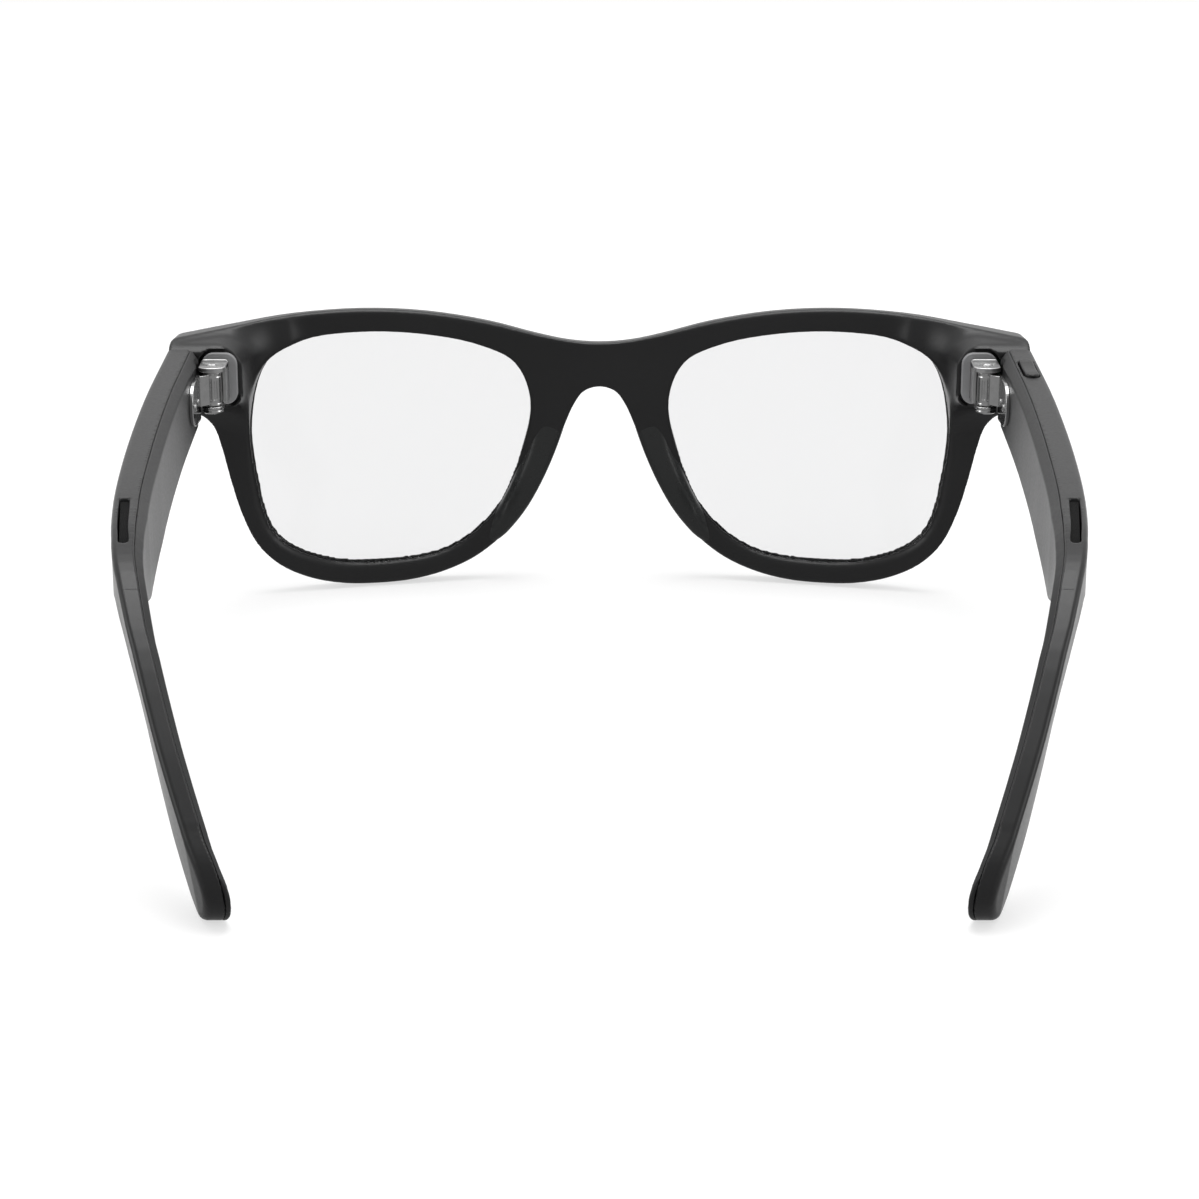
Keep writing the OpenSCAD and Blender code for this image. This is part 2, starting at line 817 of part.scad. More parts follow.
mesh_sunk = 0.45;
mesh_t = 0.5;
module sound_slot_mesh() {
  intersection() {
    slot_cut(slot_l - 0.02, slot_w - 0.02, slot_y0, slot_depth, slot_h);
    inside(slot_y0 + 1, slot_y0 - slot_l - 1, 0.5, 3.4, mesh_sunk, mesh_sunk + mesh_t);
  }
}

module sound_port_mesh() {
  intersection() {
    port_cut(slot_w - 0.02, port_h);
    translate([50, port_y1, 0]) rotate([-top_slope, 0, 0])
      translate([0, 0.01, bottom_z(port_y1) + 0.35]) cube([30, 5.9, 0.4]);
  }
}

module speaker() {
  inside(-76, -95, wall + 0.1, 3.4, 1.6, 11.5);
}

module temple_microphone() {
  inside(temple_mic_y + 1.6, temple_mic_y - 1.6, 1.3, 2.6, 10.6, 11.6);
}

module sound_slot_mesh_right() {
  color("black") placed() sound_slot_mesh();
}

module sound_slot_mesh_left() {
  color("black") placed_left() sound_slot_mesh();
}

module sound_port_mesh_right() {
  color("black") placed() sound_port_mesh();
}

module sound_port_mesh_left() {
  color("black") placed_left() sound_port_mesh();
}

module speaker_right() {
  color([0.2, 0.2, 0.22]) placed() speaker();
}

module speaker_left() {
  color([0.2, 0.2, 0.22]) placed_left() speaker();
}

module temple_microphone_right() {
  color(steel) placed() temple_microphone();
}

module temple_microphone_left() {
  color(steel) placed_left() temple_microphone();
}

module core_wire_right() {
  color(steel) placed() wire_run(wire_r, 0);
}

module core_wire_left() {
  color(steel) placed_left() wire_run(wire_r, 0);
}

module battery() {
  color([0.7, 0.71, 0.72]) placed_left() inside(-51, -74, wall + 0.1, 3.6, 1.8, 11.2);
}

module charge_board() {
  color(board) placed_left() inside(-36.8, -45.5, wall + 0.3, wall + 1.1, 1.6, 8);
}

module mainboard() {
  color(board) placed() {
    inside(-38, -74, wall + 0.7, wall + 1.5, 1.6, 10.2);
    inside(-42, -52, wall + 1.5, wall + 2.5, 2.6, 9.4);
    inside(-56, -64, wall + 1.5, wall + 2.3, 3, 9);
  }
}

module touch_strip() {
  color([0.75, 0.45, 0.15]) placed() inside(-40, -73, wall + 0.05, wall + 0.3, 2.2, 9.6);
}

module capture_switch() {
  color(steel) placed() button_frame()
    translate([-switch_w / 2, -1.5, -switch_low]) cube([switch_w, 3, 1.2]);
}

button_h = 2;
dish_r = 9.3;
dish_deep = 0.1;
module capture_button() {
  color(shade) placed() button_frame() difference() {
    translate([0, 0, -button_h + button_proud]) pill(button_l, button_w, button_h);
    translate([0, 0, button_proud + dish_r - dish_deep]) rotate([0, 90, 0])
      cylinder(r = dish_r, h = 20, center = true, $fn = 96);
  }
}

module power_switch() {
  color(shade) placed_left() power_frame() {
    translate([-power_w / 2, -power_l / 2, 0.2]) cube([power_w, power_l, 1.1]);
    for (y = [-1.4:2 * rib_w:1.4]) translate([-power_w / 2, y, -power_proud]) cube([power_w, rib_w, 0.6]);
  }
}

module power_switch_body() {
  color([0.2, 0.2, 0.22]) placed_left() power_frame() translate([-0.75, -3.4, 1.55]) cube([1.5, 5.6, 1.3]);
}

front_frame();
lens_left();
lens_right();
nose_pad_left();
nose_pad_right();
camera_bezel();
camera_window();
camera_module();
led_bezel();
led_window();
led_board();
brow_flex();
bridge_microphone();
charging_contacts();
hinge_bay_plate_left();
hinge_bay_plate_right();
hinge_bracket_left();
hinge_bracket_right();
bracket_screws_left();
bracket_screws_right();
hinge_screw_left();
hinge_screw_right();
temple_outer_shell_left();
temple_outer_shell_right();
temple_inner_shell_left();
temple_inner_shell_right();
hinge_leaf_left();
hinge_leaf_right();
leaf_screws_left();
leaf_screws_right();
speaker_left();
speaker_right();
sound_slot_mesh_left();
sound_slot_mesh_right();
sound_port_mesh_left();
sound_port_mesh_right();
temple_microphone_left();
temple_microphone_right();
core_wire_left();
core_wire_right();
battery();
charge_board();
power_switch_body();
power_switch();
mainboard();
touch_strip();
capture_switch();
capture_button();
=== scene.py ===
"""The looks of a pair of smart glasses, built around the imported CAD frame.

Lengths are in millimetres until a mesh is made. Design coordinates are the CAD source's own: x to the
wearer's right, y forward with zero where the rims touch the surface, z up. A leaned point (x, v, w) lies
in the front's own plane: v up the plane, w forward out of it.
"""
import json
import math

import bmesh
import bpy
import numpy as np
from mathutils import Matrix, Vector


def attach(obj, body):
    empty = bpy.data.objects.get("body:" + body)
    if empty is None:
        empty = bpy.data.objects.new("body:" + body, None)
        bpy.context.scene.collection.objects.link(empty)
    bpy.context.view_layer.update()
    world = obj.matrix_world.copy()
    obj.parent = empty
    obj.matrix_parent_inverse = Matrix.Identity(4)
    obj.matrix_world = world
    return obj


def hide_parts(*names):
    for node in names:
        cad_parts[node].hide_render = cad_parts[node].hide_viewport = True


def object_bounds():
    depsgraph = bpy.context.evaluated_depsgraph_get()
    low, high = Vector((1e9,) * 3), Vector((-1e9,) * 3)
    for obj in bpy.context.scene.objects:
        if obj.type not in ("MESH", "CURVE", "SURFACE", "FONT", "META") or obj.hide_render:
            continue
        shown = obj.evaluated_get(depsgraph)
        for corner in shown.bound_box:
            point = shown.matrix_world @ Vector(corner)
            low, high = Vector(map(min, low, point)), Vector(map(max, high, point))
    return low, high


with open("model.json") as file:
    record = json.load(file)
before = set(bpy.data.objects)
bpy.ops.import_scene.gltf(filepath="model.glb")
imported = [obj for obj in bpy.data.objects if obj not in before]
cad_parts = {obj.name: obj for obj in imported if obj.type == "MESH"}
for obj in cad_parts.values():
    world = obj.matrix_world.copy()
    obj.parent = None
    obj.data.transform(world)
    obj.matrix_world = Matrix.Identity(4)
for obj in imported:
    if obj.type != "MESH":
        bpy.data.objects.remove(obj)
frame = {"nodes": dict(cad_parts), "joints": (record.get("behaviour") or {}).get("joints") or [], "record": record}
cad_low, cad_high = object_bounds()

import openvdb
from mathutils import Vector

MM = 0.001
JOINTS = {j["name"]: j for j in frame["joints"]}
SIDES = {"left": -1, "right": 1}

# ---- sizes ----------------------------------------------------------------

HINGE_X = JOINTS["temple_right_fold"]["pos_m"][0] / MM
HINGE_Y = -19.8
SHIFT_Y = JOINTS["temple_right_fold"]["pos_m"][1] / MM - HINGE_Y
FRONT_W = (cad_high.x - cad_low.x) / MM

RIM_T = 4.4
WRAP_R = 160
LEAN = math.radians(5)
LENS_T = 2.0
LENS_BITE = 0.8
LENS_DEPTH = 1.25
LENS_CROWN = 0.75
LENS_RINGS = 22
RIM_X = 38

TEMPLE_T = 5.3
BLOCK_END_Y = -16.5
TEMPLE_FRONT = -16.65
TIP_Y = -154.2
WALL = 1.0

# ---- curves and fields ------------------------------------------------------


def bend(a, b, c, d, u):
    """A point of the centripetal Catmull-Rom curve between b and c."""
    k1, k2, k3 = (math.sqrt(math.dist(p, q)) for p, q in ((a, b), (b, c), (c, d)))
    a, b, c, d = (np.array(p, float) for p in (a, b, c, d))
    t1, t2, t3 = k1, k1 + k2, k1 + k2 + k3
    t = t1 + k2 * u
    ab = (a * (t1 - t) + b * t) / t1
    bc = (b * (t2 - t) + c * (t - t1)) / (t2 - t1)
    cd = (c * (t3 - t) + d * (t - t2)) / (t3 - t2)
    abc = (ab * (t2 - t) + bc * t) / t2
    bcd = (bc * (t3 - t) + cd * (t - t1)) / (t3 - t1)
    return (abc * (t2 - t) + bcd * (t - t1)) / (t2 - t1)


def smooth_loop(p, steps):
    """A smooth closed outline through its points."""
    n = len(p)
    return np.array([bend(p[i - 1], p[i], p[(i + 1) % n], p[(i + 2) % n], s / steps)
                     for i in range(n) for s in range(steps)])


def smooth_line(p, steps):
    """A smooth open line through its points."""
    first = [2 * p[0][0] - p[1][0], 2 * p[0][1] - p[1][1]]
    last = [2 * p[-1][0] - p[-2][0], 2 * p[-1][1] - p[-2][1]]
    q = [first, *p, last]
    line = [bend(*q[i:i + 4], s / steps) for i in range(len(p) - 1) for s in range(steps)]
    return np.array([*line, p[-1]], float)


def lookup(at, table):
    """The value at each place, between the rows of a table of (place, value)."""
    rows = sorted((float(a), float(b)) for a, b in table)
    return np.interp(at, [r[0] for r in rows], [r[1] for r in rows])


def polygon_field(a, b, outline):
    """Signed distance to an outline in a plane, negative inside. a and b are arrays of one shape."""
    best = np.full(a.shape, 1e9)
    inside = np.zeros(a.shape, bool)
    for (x0, y0), (x1, y1) in zip(outline, np.roll(outline, -1, axis=0)):
        dx, dy = x1 - x0, y1 - y0
        t = np.clip(((a - x0) * dx + (b - y0) * dy) / max(dx * dx + dy * dy, 1e-12), 0, 1)
        best = np.minimum(best, (a - x0 - t * dx) ** 2 + (b - y0 - t * dy) ** 2)
        if dy:
            crosses = ((y0 > b) != (y1 > b)) & (a < x0 + (b - y0) * dx / dy)
            inside ^= crosses
    return np.where(inside, -1, 1) * np.sqrt(best)


def box_field(a, b, a0, a1, b0, b1, r=0.0):
    """Signed distance to a rectangle with round corners."""
    qa = abs(a - (a0 + a1) / 2) - (a1 - a0) / 2 + r
    qb = abs(b - (b0 + b1) / 2) - (b1 - b0) / 2 + r
    return np.hypot(np.maximum(qa, 0), np.maximum(qb, 0)) + np.minimum(np.maximum(qa, qb), 0) - r


def meet(a, b, r):
    """What is in both fields, with the edge between them rounded."""
    return np.minimum(np.maximum(a, b), -r) + np.hypot(np.maximum(a + r, 0), np.maximum(b + r, 0))


def join(a, b, r):
    """What is in either field, with a fillet between them."""
    return np.maximum(np.minimum(a, b), r) - np.hypot(np.maximum(r - a, 0), np.maximum(r - b, 0))


def cut(a, b, r):
    """Field a without field b, with a rounded edge."""
    return meet(a, -b, r)


def ramp(at, start, end):
    """0 before start, 1 after end, smooth between."""
    t = np.clip((at - start) / (end - start), 0, 1)
    return t * t * (3 - 2 * t)


def axis(low, high, step):
    """Evenly spaced grid lines from low to at least high."""
    return np.arange(low, high + step, step)


def field_mesh(field, steps, low):
    """The surface where a field is zero, as points in the field's own coordinates and four-sided faces."""
    band = 3.0
    grid = openvdb.FloatGrid(band)
    grid.copyFromArray(np.clip(field, -band, band).astype(np.float32))
    points, quads = grid.convertToQuads(isovalue=0.0)
    return points.astype(float) * np.array(steps) + np.array(low), quads.astype(int)


# ---- meshes -------------------------------------------------------------------


def to_row(p):
    """Design millimetres to the row frame, in metres."""
    return (np.asarray(p, float) + [0, SHIFT_Y, 0]) * MM


def signed_volume(points, faces):
    """Six times the volume inside, below zero where the faces look inward."""
    total = 0.0
    for f in faces:
        a = points[f[0]]
        for i in range(1, len(f) - 1):
            total += np.dot(a, np.cross(points[f[i]], points[f[i + 1]]))
    return total


def facing_out(points, faces):
    """The faces as lists, turned so that they look outward. An array holds four-sided faces."""
    if isinstance(faces, np.ndarray):
        a, b, c, d = (points[faces[:, i]] for i in range(4))
        volume = np.einsum("ij,ij->", a, np.cross(b, c)) + np.einsum("ij,ij->", a, np.cross(c, d))
        return (faces if volume > 0 else faces[:, ::-1]).tolist()
    if signed_volume(points, faces) < 0:
        return [list(reversed(f)) for f in faces]
    return faces


def solid(name, points, faces, material, body, nodes, smooth=True):
    """A piece from design points and faces, riding on a CAD body in place of CAD nodes."""
    points = to_row(points)
    mesh = bpy.data.meshes.new(name)
    mesh.from_pydata(points.tolist(), [], facing_out(points, faces))
    mesh.update()
    if smooth:
        mesh.polygons.foreach_set("use_smooth", [True] * len(mesh.polygons))
    piece = bpy.data.objects.new(name, mesh)
    bpy.context.scene.collection.objects.link(piece)
    mesh.materials.append(material)
    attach(piece, body)
    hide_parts(*nodes)
    return piece


def for_side(points, sign):
    """Points of the right-hand piece, mirrored for the left."""
    return np.array(points) * [sign, 1, 1]


def bevel(piece, width, segments=2):
    """Rounds the sharp edges of a machined piece and keeps its flats flat."""
    m = piece.modifiers.new("edges", "BEVEL")
    m.width = width * MM
    m.segments = segments
    m.limit_method = "ANGLE"
    m.angle_limit = math.radians(35)
    m.harden_normals = True
    return piece


def prism(outline, low, high, place):
    """Points and faces of an outline pushed from low to high. place(a, b, h) gives the design point."""
    n = len(outline)
    points = [place(a, b, h) for h in (low, high) for a, b in outline]
    faces = [list(range(n)), list(range(2 * n - 1, n - 1, -1))]
    faces += [[i, i + n, (i + 1) % n + n, (i + 1) % n] for i in range(n)]
    return points, faces


def lathe(profile, centre, place, turns=48):
    """A closed (radius, height) profile turned about an axis. place(a, b, h) gives the design point."""
    n = len(profile)
    points, faces = [], []
    for k in range(turns):
        c, s = math.cos(2 * math.pi * k / turns), math.sin(2 * math.pi * k / turns)
        points += [place(centre[0] + r * c, centre[1] + r * s, h) for r, h in profile]
        m = (k + 1) % turns
        faces += [[k * n + i, m * n + i, m * n + (i + 1) % n, k * n + (i + 1) % n] for i in range(n)]
    return points, faces


def merged(*parts):
    """Several (points, faces) as one."""
    points, faces = [], []
    for p, f in parts:
        k = len(points)
        points += list(p)
        faces += [[i + k for i in face] for face in f]
    return points, faces


def arc(cx, cy, r, start, end, steps):
    """Points of a round stretch, angles in degrees."""
    return [(cx + r * math.cos(math.radians(start + (end - start) * i / steps)),
             cy + r * math.sin(math.radians(start + (end - start) * i / steps))) for i in range(steps + 1)]


def round_rect(a0, b0, a1, b1, r, steps=6):
    """Outline of a rectangle with round corners."""
    return (arc(a1 - r, b1 - r, r, 0, 90, steps) + arc(a0 + r, b1 - r, r, 90, 180, steps)
            + arc(a0 + r, b0 + r, r, 180, 270, steps) + arc(a1 - r, b0 + r, r, 270, 360, steps))


def upright(a, b, h):
    """An outline drawn as (x, y), pushed along z."""
    return [a, b, h]


def across(a, b, h):
    """An outline drawn as (y, z), pushed along x."""
    return [h, a, b]


def facing(a, b, h):
    """An outline drawn as (x, z), pushed along y."""
    return [a, h, b]


# ---- materials ------------------------------------------------------------------


def new_material(name):
    """A material with its node tree and its main shader."""
    m = bpy.data.materials.new(name)
    m.use_nodes = True
    tree = m.node_tree
    return m, tree, tree.nodes["Principled BSDF"]


def noise(tree, scale, detail=3.0, stretch=(1, 1, 1)):
    """A noise over the piece's own coordinates, in metres."""
    coords = tree.nodes.new("ShaderNodeTexCoord")
    mapping = tree.nodes.new("ShaderNodeMapping")
    mapping.inputs["Scale"].default_value = stretch
    texture = tree.nodes.new("ShaderNodeTexNoise")
    texture.inputs["Scale"].default_value = scale
    texture.inputs["Detail"].default_value = detail
    tree.links.new(coords.outputs["Object"], mapping.inputs["Vector"])
    tree.links.new(mapping.outputs["Vector"], texture.inputs["Vector"])
    return texture.outputs["Fac"]


def spread(tree, value, low, high):
    """A noise value spread over a range."""
    span = tree.nodes.new("ShaderNodeMapRange")
    span.inputs["From Min"].default_value = 0.3
    span.inputs["From Max"].default_value = 0.7
    span.inputs["To Min"].default_value = low
    span.inputs["To Max"].default_value = high
    tree.links.new(value, span.inputs["Value"])
    return span.outputs["Result"]


def bump(tree, shader, height, distance):
    """A fine relief, its depth in metres."""
    node = tree.nodes.new("ShaderNodeBump")
    node.inputs["Strength"].default_value = 1.0
    node.inputs["Distance"].default_value = distance
    tree.links.new(height, node.inputs["Height"])
    tree.links.new(node.outputs["Normal"], shader.inputs["Normal"])


def two_tones(tree, shader, value, dark, light):
    """Base colour between two tones."""
    mix = tree.nodes.new("ShaderNodeMix")
    mix.data_type = "RGBA"
    mix.inputs["A"].default_value = (*dark, 1)
    mix.inputs["B"].default_value = (*light, 1)
    tree.links.new(value, mix.inputs["Factor"])
    tree.links.new(mix.outputs["Result"], shader.inputs["Base Color"])


def moulded(name, tone, rough, grain=2200.0, depth=1.5e-6, ior=1.4):
    """Moulded plastic or film: fine grain, slow drift in tone, and a slightly uneven finish."""
    m, tree, shader = new_material(name)
    drift = spread(tree, noise(tree, 60.0, 2.0), 0.0, 1.0)
    fine = noise(tree, grain, 4.0)
    two_tones(tree, shader, drift, [c * 0.92 for c in tone], [c * 1.08 for c in tone])
    tree.links.new(spread(tree, fine, rough - 0.03, rough + 0.03), shader.inputs["Roughness"])
    shader.inputs["IOR"].default_value = ior
    bump(tree, shader, fine, depth)
    return m


def metal(name, tone, rough, stretch=(1, 1, 1), depth=3e-6):
    """Bright worked metal: drawn grain, soft smudges in the polish."""
    m, tree, shader = new_material(name)
    grain = noise(tree, 900.0, 5.0, stretch)
    smudge = noise(tree, 420.0, 2.0)
    two_tones(tree, shader, spread(tree, grain, 0.0, 1.0), [c * 0.9 for c in tone], tone)
    tree.links.new(spread(tree, smudge, rough - 0.04, rough + 0.06), shader.inputs["Roughness"])
    shader.inputs["Metallic"].default_value = 1.0
    bump(tree, shader, grain, depth)
    return m


def clear_lens(name, tint):
    """Clear coated lens: what is behind shows through, under a sheen that grows as the view slants."""
    m, tree, shader = new_material(name)
    tree.nodes.remove(shader)
    see = tree.nodes.new("ShaderNodeBsdfTransparent")
    see.inputs["Color"].default_value = (*tint, 1)
    shine = tree.nodes.new("ShaderNodeBsdfGlossy")
    shine.inputs["Roughness"].default_value = 0.03
    edge = tree.nodes.new("ShaderNodeFresnel")
    edge.inputs["IOR"].default_value = 1.42
    film = noise(tree, 35.0, 2.0)
    share = tree.nodes.new("ShaderNodeMath")
    share.operation = "MULTIPLY"
    mix = tree.nodes.new("ShaderNodeMixShader")
    tree.links.new(edge.outputs["Fac"], share.inputs[0])
    tree.links.new(spread(tree, film, 0.75, 0.9), share.inputs[1])
    tree.links.new(share.outputs["Value"], mix.inputs["Fac"])
    tree.links.new(see.outputs["BSDF"], mix.inputs[1])
    tree.links.new(shine.outputs["BSDF"], mix.inputs[2])
    tree.links.new(mix.outputs["Shader"], tree.nodes["Material Output"].inputs["Surface"])
    return m


def woven(name, tone):
    """Fine black mesh cloth over a sound opening."""
    m, tree, shader = new_material(name)
    coords = tree.nodes.new("ShaderNodeTexCoord")
    threads = []
    for direction in ("X", "Y"):
        wave = tree.nodes.new("ShaderNodeTexWave")
        wave.bands_direction = direction
        wave.inputs["Scale"].default_value = 1400.0
        tree.links.new(coords.outputs["Object"], wave.inputs["Vector"])
        threads.append(wave.outputs["Fac"])
    weave = tree.nodes.new("ShaderNodeMath")
    weave.operation = "MULTIPLY"
    tree.links.new(threads[0], weave.inputs[0])
    tree.links.new(threads[1], weave.inputs[1])
    two_tones(tree, shader, weave.outputs["Value"], tone, [c * 2 for c in tone])
    shader.inputs["Roughness"].default_value = 0.85
    shader.inputs["Specular IOR Level"].default_value = 0.15
    bump(tree, shader, weave.outputs["Value"], 4e-5)
    return m


def printed_board(name):
    """Green board with a faint pattern of copper under the mask."""
    m, tree, shader = new_material(name)
    tracks = noise(tree, 700.0, 0.0, (1, 0.15, 1))
    two_tones(tree, shader, spread(tree, tracks, 0.0, 1.0), (0.01, 0.07, 0.035), (0.04, 0.2, 0.1))
    shader.inputs["Roughness"].default_value = 0.4
    return m


BLACK = (0.0145, 0.0145, 0.015)
MATERIALS = {
    "black_acetate": moulded("satin_black", BLACK, 0.34),
    "black_inner_plastic": moulded("inner_satin_black", (0.015, 0.015, 0.0155), 0.38),
    "nose_pad_plastic": moulded("pad_black", (0.012, 0.013, 0.013), 0.3, 1600.0, 2e-7, 1.55),
    "control_black": moulded("control_black", (0.012, 0.012, 0.0125), 0.36),
    "module_black": moulded("module_black", (0.02, 0.02, 0.022), 0.5),
    "bezel_black": moulded("bezel_black", (0.006, 0.006, 0.007), 0.16, 1400.0, 1e-6),
    "bay_plate_grey": moulded("bay_grey", (0.25, 0.25, 0.255), 0.42, 1500.0, 5e-6),
    "hinge_steel": metal("hinge_steel", (0.6, 0.6, 0.6), 0.12, depth=3e-7),
    "screw_steel": metal("screw_steel", (0.62, 0.62, 0.62), 0.26),
    "steel_can": metal("steel_can", (0.6, 0.6, 0.6), 0.35),
    "core_wire_steel": metal("core_wire", (0.5, 0.5, 0.5), 0.3, (1, 0.1, 1)),
    "gold_contact": metal("gold_contact", (0.85, 0.6, 0.22), 0.2),
    "battery_pouch": metal("battery_foil", (0.62, 0.63, 0.65), 0.4),
    "circuit_board": printed_board("green_board"),
    "flex_film": moulded("amber_film", (0.36, 0.15, 0.03), 0.35),
    "mesh_black": woven("black_mesh", (0.004, 0.004, 0.004)),
    "lens_clear": clear_lens("clear_lens", (0.888, 0.888, 0.89)),
    "window_dark": moulded("camera_glass", (0.004, 0.004, 0.008), 0.04, 900.0, 1e-7),
    "window_white": moulded("light_window", (0.72, 0.73, 0.75), 0.18, 900.0, 1e-6),
}
SATIN_STEEL = metal("satin_steel", (0.72, 0.72, 0.72), 0.3, (1, 8, 1), 1e-6)
for row in frame["record"]["subparts"]:
    node = frame["nodes"][row["node"]]
    node.data.materials.clear()
    node.data.materials.append(MATERIALS[row["material_slot"]])


# ---- camera, floor and light ------------------------------------------------------

CAMERA_BACK = 347.36
CAMERA_H = 149.43
CAMERA_DOWN = 16.925
CAMERA_LENS = 90
CAMERA_SENSOR = 36
FLOOR_R = 6.0
FLOOR_Z = -0.00002


def set_camera():
    """The photo's own view, square behind the temple tips and looking down."""
    data = bpy.data.cameras.new("camera")
    data.lens = CAMERA_LENS
    data.sensor_width = CAMERA_SENSOR
    data.clip_start = 0.01
    camera = bpy.data.objects.new("camera", data)
    camera.location = (0, cad_low.y - CAMERA_BACK * MM, CAMERA_H * MM)
    camera.rotation_euler = (math.radians(90 - CAMERA_DOWN), 0, 0)
    bpy.context.scene.collection.objects.link(camera)
    bpy.context.scene.camera = camera


def area_light(name, place, aim, size, power):
    """A rectangular soft box, in metres and watts."""
    data = bpy.data.lights.new(name, "AREA")
    data.shape = "RECTANGLE"
    data.size, data.size_y = size
    data.energy = power
    lamp = bpy.data.objects.new(name, data)
    lamp.location = place
    lamp.rotation_euler = (Vector(aim) - Vector(place)).to_track_quat("-Z", "Y").to_euler()
    bpy.context.scene.collection.objects.link(lamp)


def glow(tree, value, start, end, low, high):
    """A soft step of a studio light's strength along one direction."""
    step = tree.nodes.new("ShaderNodeMapRange")
    step.interpolation_type = "SMOOTHSTEP"
    step.inputs["From Min"].default_value = start
    step.inputs["From Max"].default_value = end
    step.inputs["To Min"].default_value = low
    step.inputs["To Max"].default_value = high
    tree.links.new(value, step.inputs["Value"])
    return step.outputs["Result"]


def set_floor():
    """A round white floor. Reflections don't see it and show the world's lower half instead."""
    material, tree, shader = new_material("white_floor")
    tint = noise(tree, 3.0, 1.0)
    two_tones(tree, shader, spread(tree, tint, 0.0, 1.0), (0.38, 0.38, 0.38), (0.385, 0.385, 0.385))
    shader.inputs["Roughness"].default_value = 0.9
    shader.inputs["Specular IOR Level"].default_value = 0.1
    shader.inputs["Emission Color"].default_value = (1, 1, 1, 1)
    shader.inputs["Emission Strength"].default_value = 0.64
    bm = bmesh.new()
    bmesh.ops.create_circle(bm, cap_ends=True, segments=96, radius=FLOOR_R)
    mesh = bpy.data.meshes.new("floor")
    bm.to_mesh(mesh)
    bm.free()
    mesh.materials.append(material)
    floor = bpy.data.objects.new("floor", mesh)
    floor.location.z = FLOOR_Z
    bpy.context.scene.collection.objects.link(floor)
    floor.visible_glossy = False


def set_sky():
    """A world that is dimmer behind the wearer, and below the horizon is bright only far forward."""
    world = bpy.data.worlds.new("studio")
    world.use_nodes = True
    bpy.context.scene.world = world
    tree = world.node_tree
    back = tree.nodes["Background"]
    toward = tree.nodes.new("ShaderNodeTexCoord")
    split = tree.nodes.new("ShaderNodeSeparateXYZ")
    tree.links.new(toward.outputs["Generated"], split.inputs["Vector"])
    sky = glow(tree, split.outputs["Y"], -0.65, 0.25, 0.34, 0.8)
    table = glow(tree, split.outputs["Y"], 0.68, 0.9, 0.32, 1.35)
    height = glow(tree, split.outputs["Z"], -0.12, -0.02, 0.0, 1.0)
    level = tree.nodes.new("ShaderNodeMix")
    tree.links.new(height, level.inputs["Factor"])
    tree.links.new(table, level.inputs["A"])
    tree.links.new(sky, level.inputs["B"])
    tree.links.new(level.outputs["Result"], back.inputs["Strength"])
    back.inputs["Color"].default_value = (1, 1, 1, 1)


def set_lights():
    """One soft box overhead and a weak one at each side."""
    area_light("top_box", (0, 0.18, 1.2), (0, 0, 0), (0.9, 0.9), 11)
    for side in (-1, 1):
        area_light(f"side_box_{side}", (side, -0.05, 0.45), (0, 0, 0.02), (0.5, 0.5), 1.6)


set_camera()
set_floor()
set_sky()
set_lights()
bpy.context.scene.view_settings.view_transform = "Standard"


# ---- the front ----------------------------------------------------------------------

# Right half of the front as (x, v): the brow, the end piece, then the rim round to the bridge's arch
BROW_HALF = [[0, 41.4], [5.4, 41.8], [11, 43], [19.2, 45.2], [30, 47.1], [41, 47.8], [52, 47.3],
             [62, 45.9], [68.6, 44.9]]
END_HALF = [[70.7, 44.5], [71.2, 43.9], [71.2, 42], [71.2, 36.5], [70.9, 33.6], [69.6, 32], [67.2, 31.2],
            [65.2, 29], [63.9, 25]]
RIM_HALF = [[62.7, 19.8], [60.9, 13.4], [58.5, 8.1], [55, 4.3], [50.2, 1.7], [44.5, 0.3], [38.5, 0],
            [32.5, 0.4], [27, 1.7], [21.8, 4], [17.2, 7.5], [13.2, 12.2], [10.2, 17.3], [7.9, 22.3],
            [6.1, 27], [4.4, 30.8], [2.7, 33], [0, 33.8]]
FRONT_HALF = BROW_HALF + END_HALF + RIM_HALF
OUTLINE = smooth_loop(FRONT_HALF + [[-x, v] for x, v in FRONT_HALF[-2:0:-1]], 4)
OPENING_POINTS = [[59.3, 29.5], [58.4, 19.5], [55.2, 9.4], [47.5, 5], [37, 4.1], [26.5, 5.9], [18.7, 12],
                  [13.6, 22.7], [12, 31.6], [14.6, 38], [20.5, 41.1], [30, 43.2], [41, 43.9], [50.5, 42.8],
                  [56.6, 39.2]]
OPENING = smooth_loop(OPENING_POINTS, 5)
# How far a nose pad stands behind the rim, as (v, rise)
PAD_RISE = smooth_line([[3, 0], [6, 0.4], [9, 1.3], [12.5, 2.1], [16, 2.2], [20, 1.6], [24, 0.7], [26.6, 0.1],
                        [28.6, -0.5]], 6)
FACE_W0 = RIM_T / 2 + RIM_X ** 2 / (2 * WRAP_R)


def face_w(x):
    """How far forward the front face stands at x."""
    return FACE_W0 - WRAP_R + np.sqrt(WRAP_R ** 2 - np.asarray(x, float) ** 2)


LIFT = -min(OUTLINE[:, 1] * math.cos(LEAN) - face_w(OUTLINE[:, 0]) * math.sin(LEAN))


def leaned(p):
    """Points (x, v, w) of the front's own plane as design points."""
    x, v, w = (np.asarray(p, float)[..., i] for i in range(3))
    return np.stack([x, w * math.cos(LEAN) + v * math.sin(LEAN),
                     LIFT + v * math.cos(LEAN) - w * math.sin(LEAN)], axis=-1)


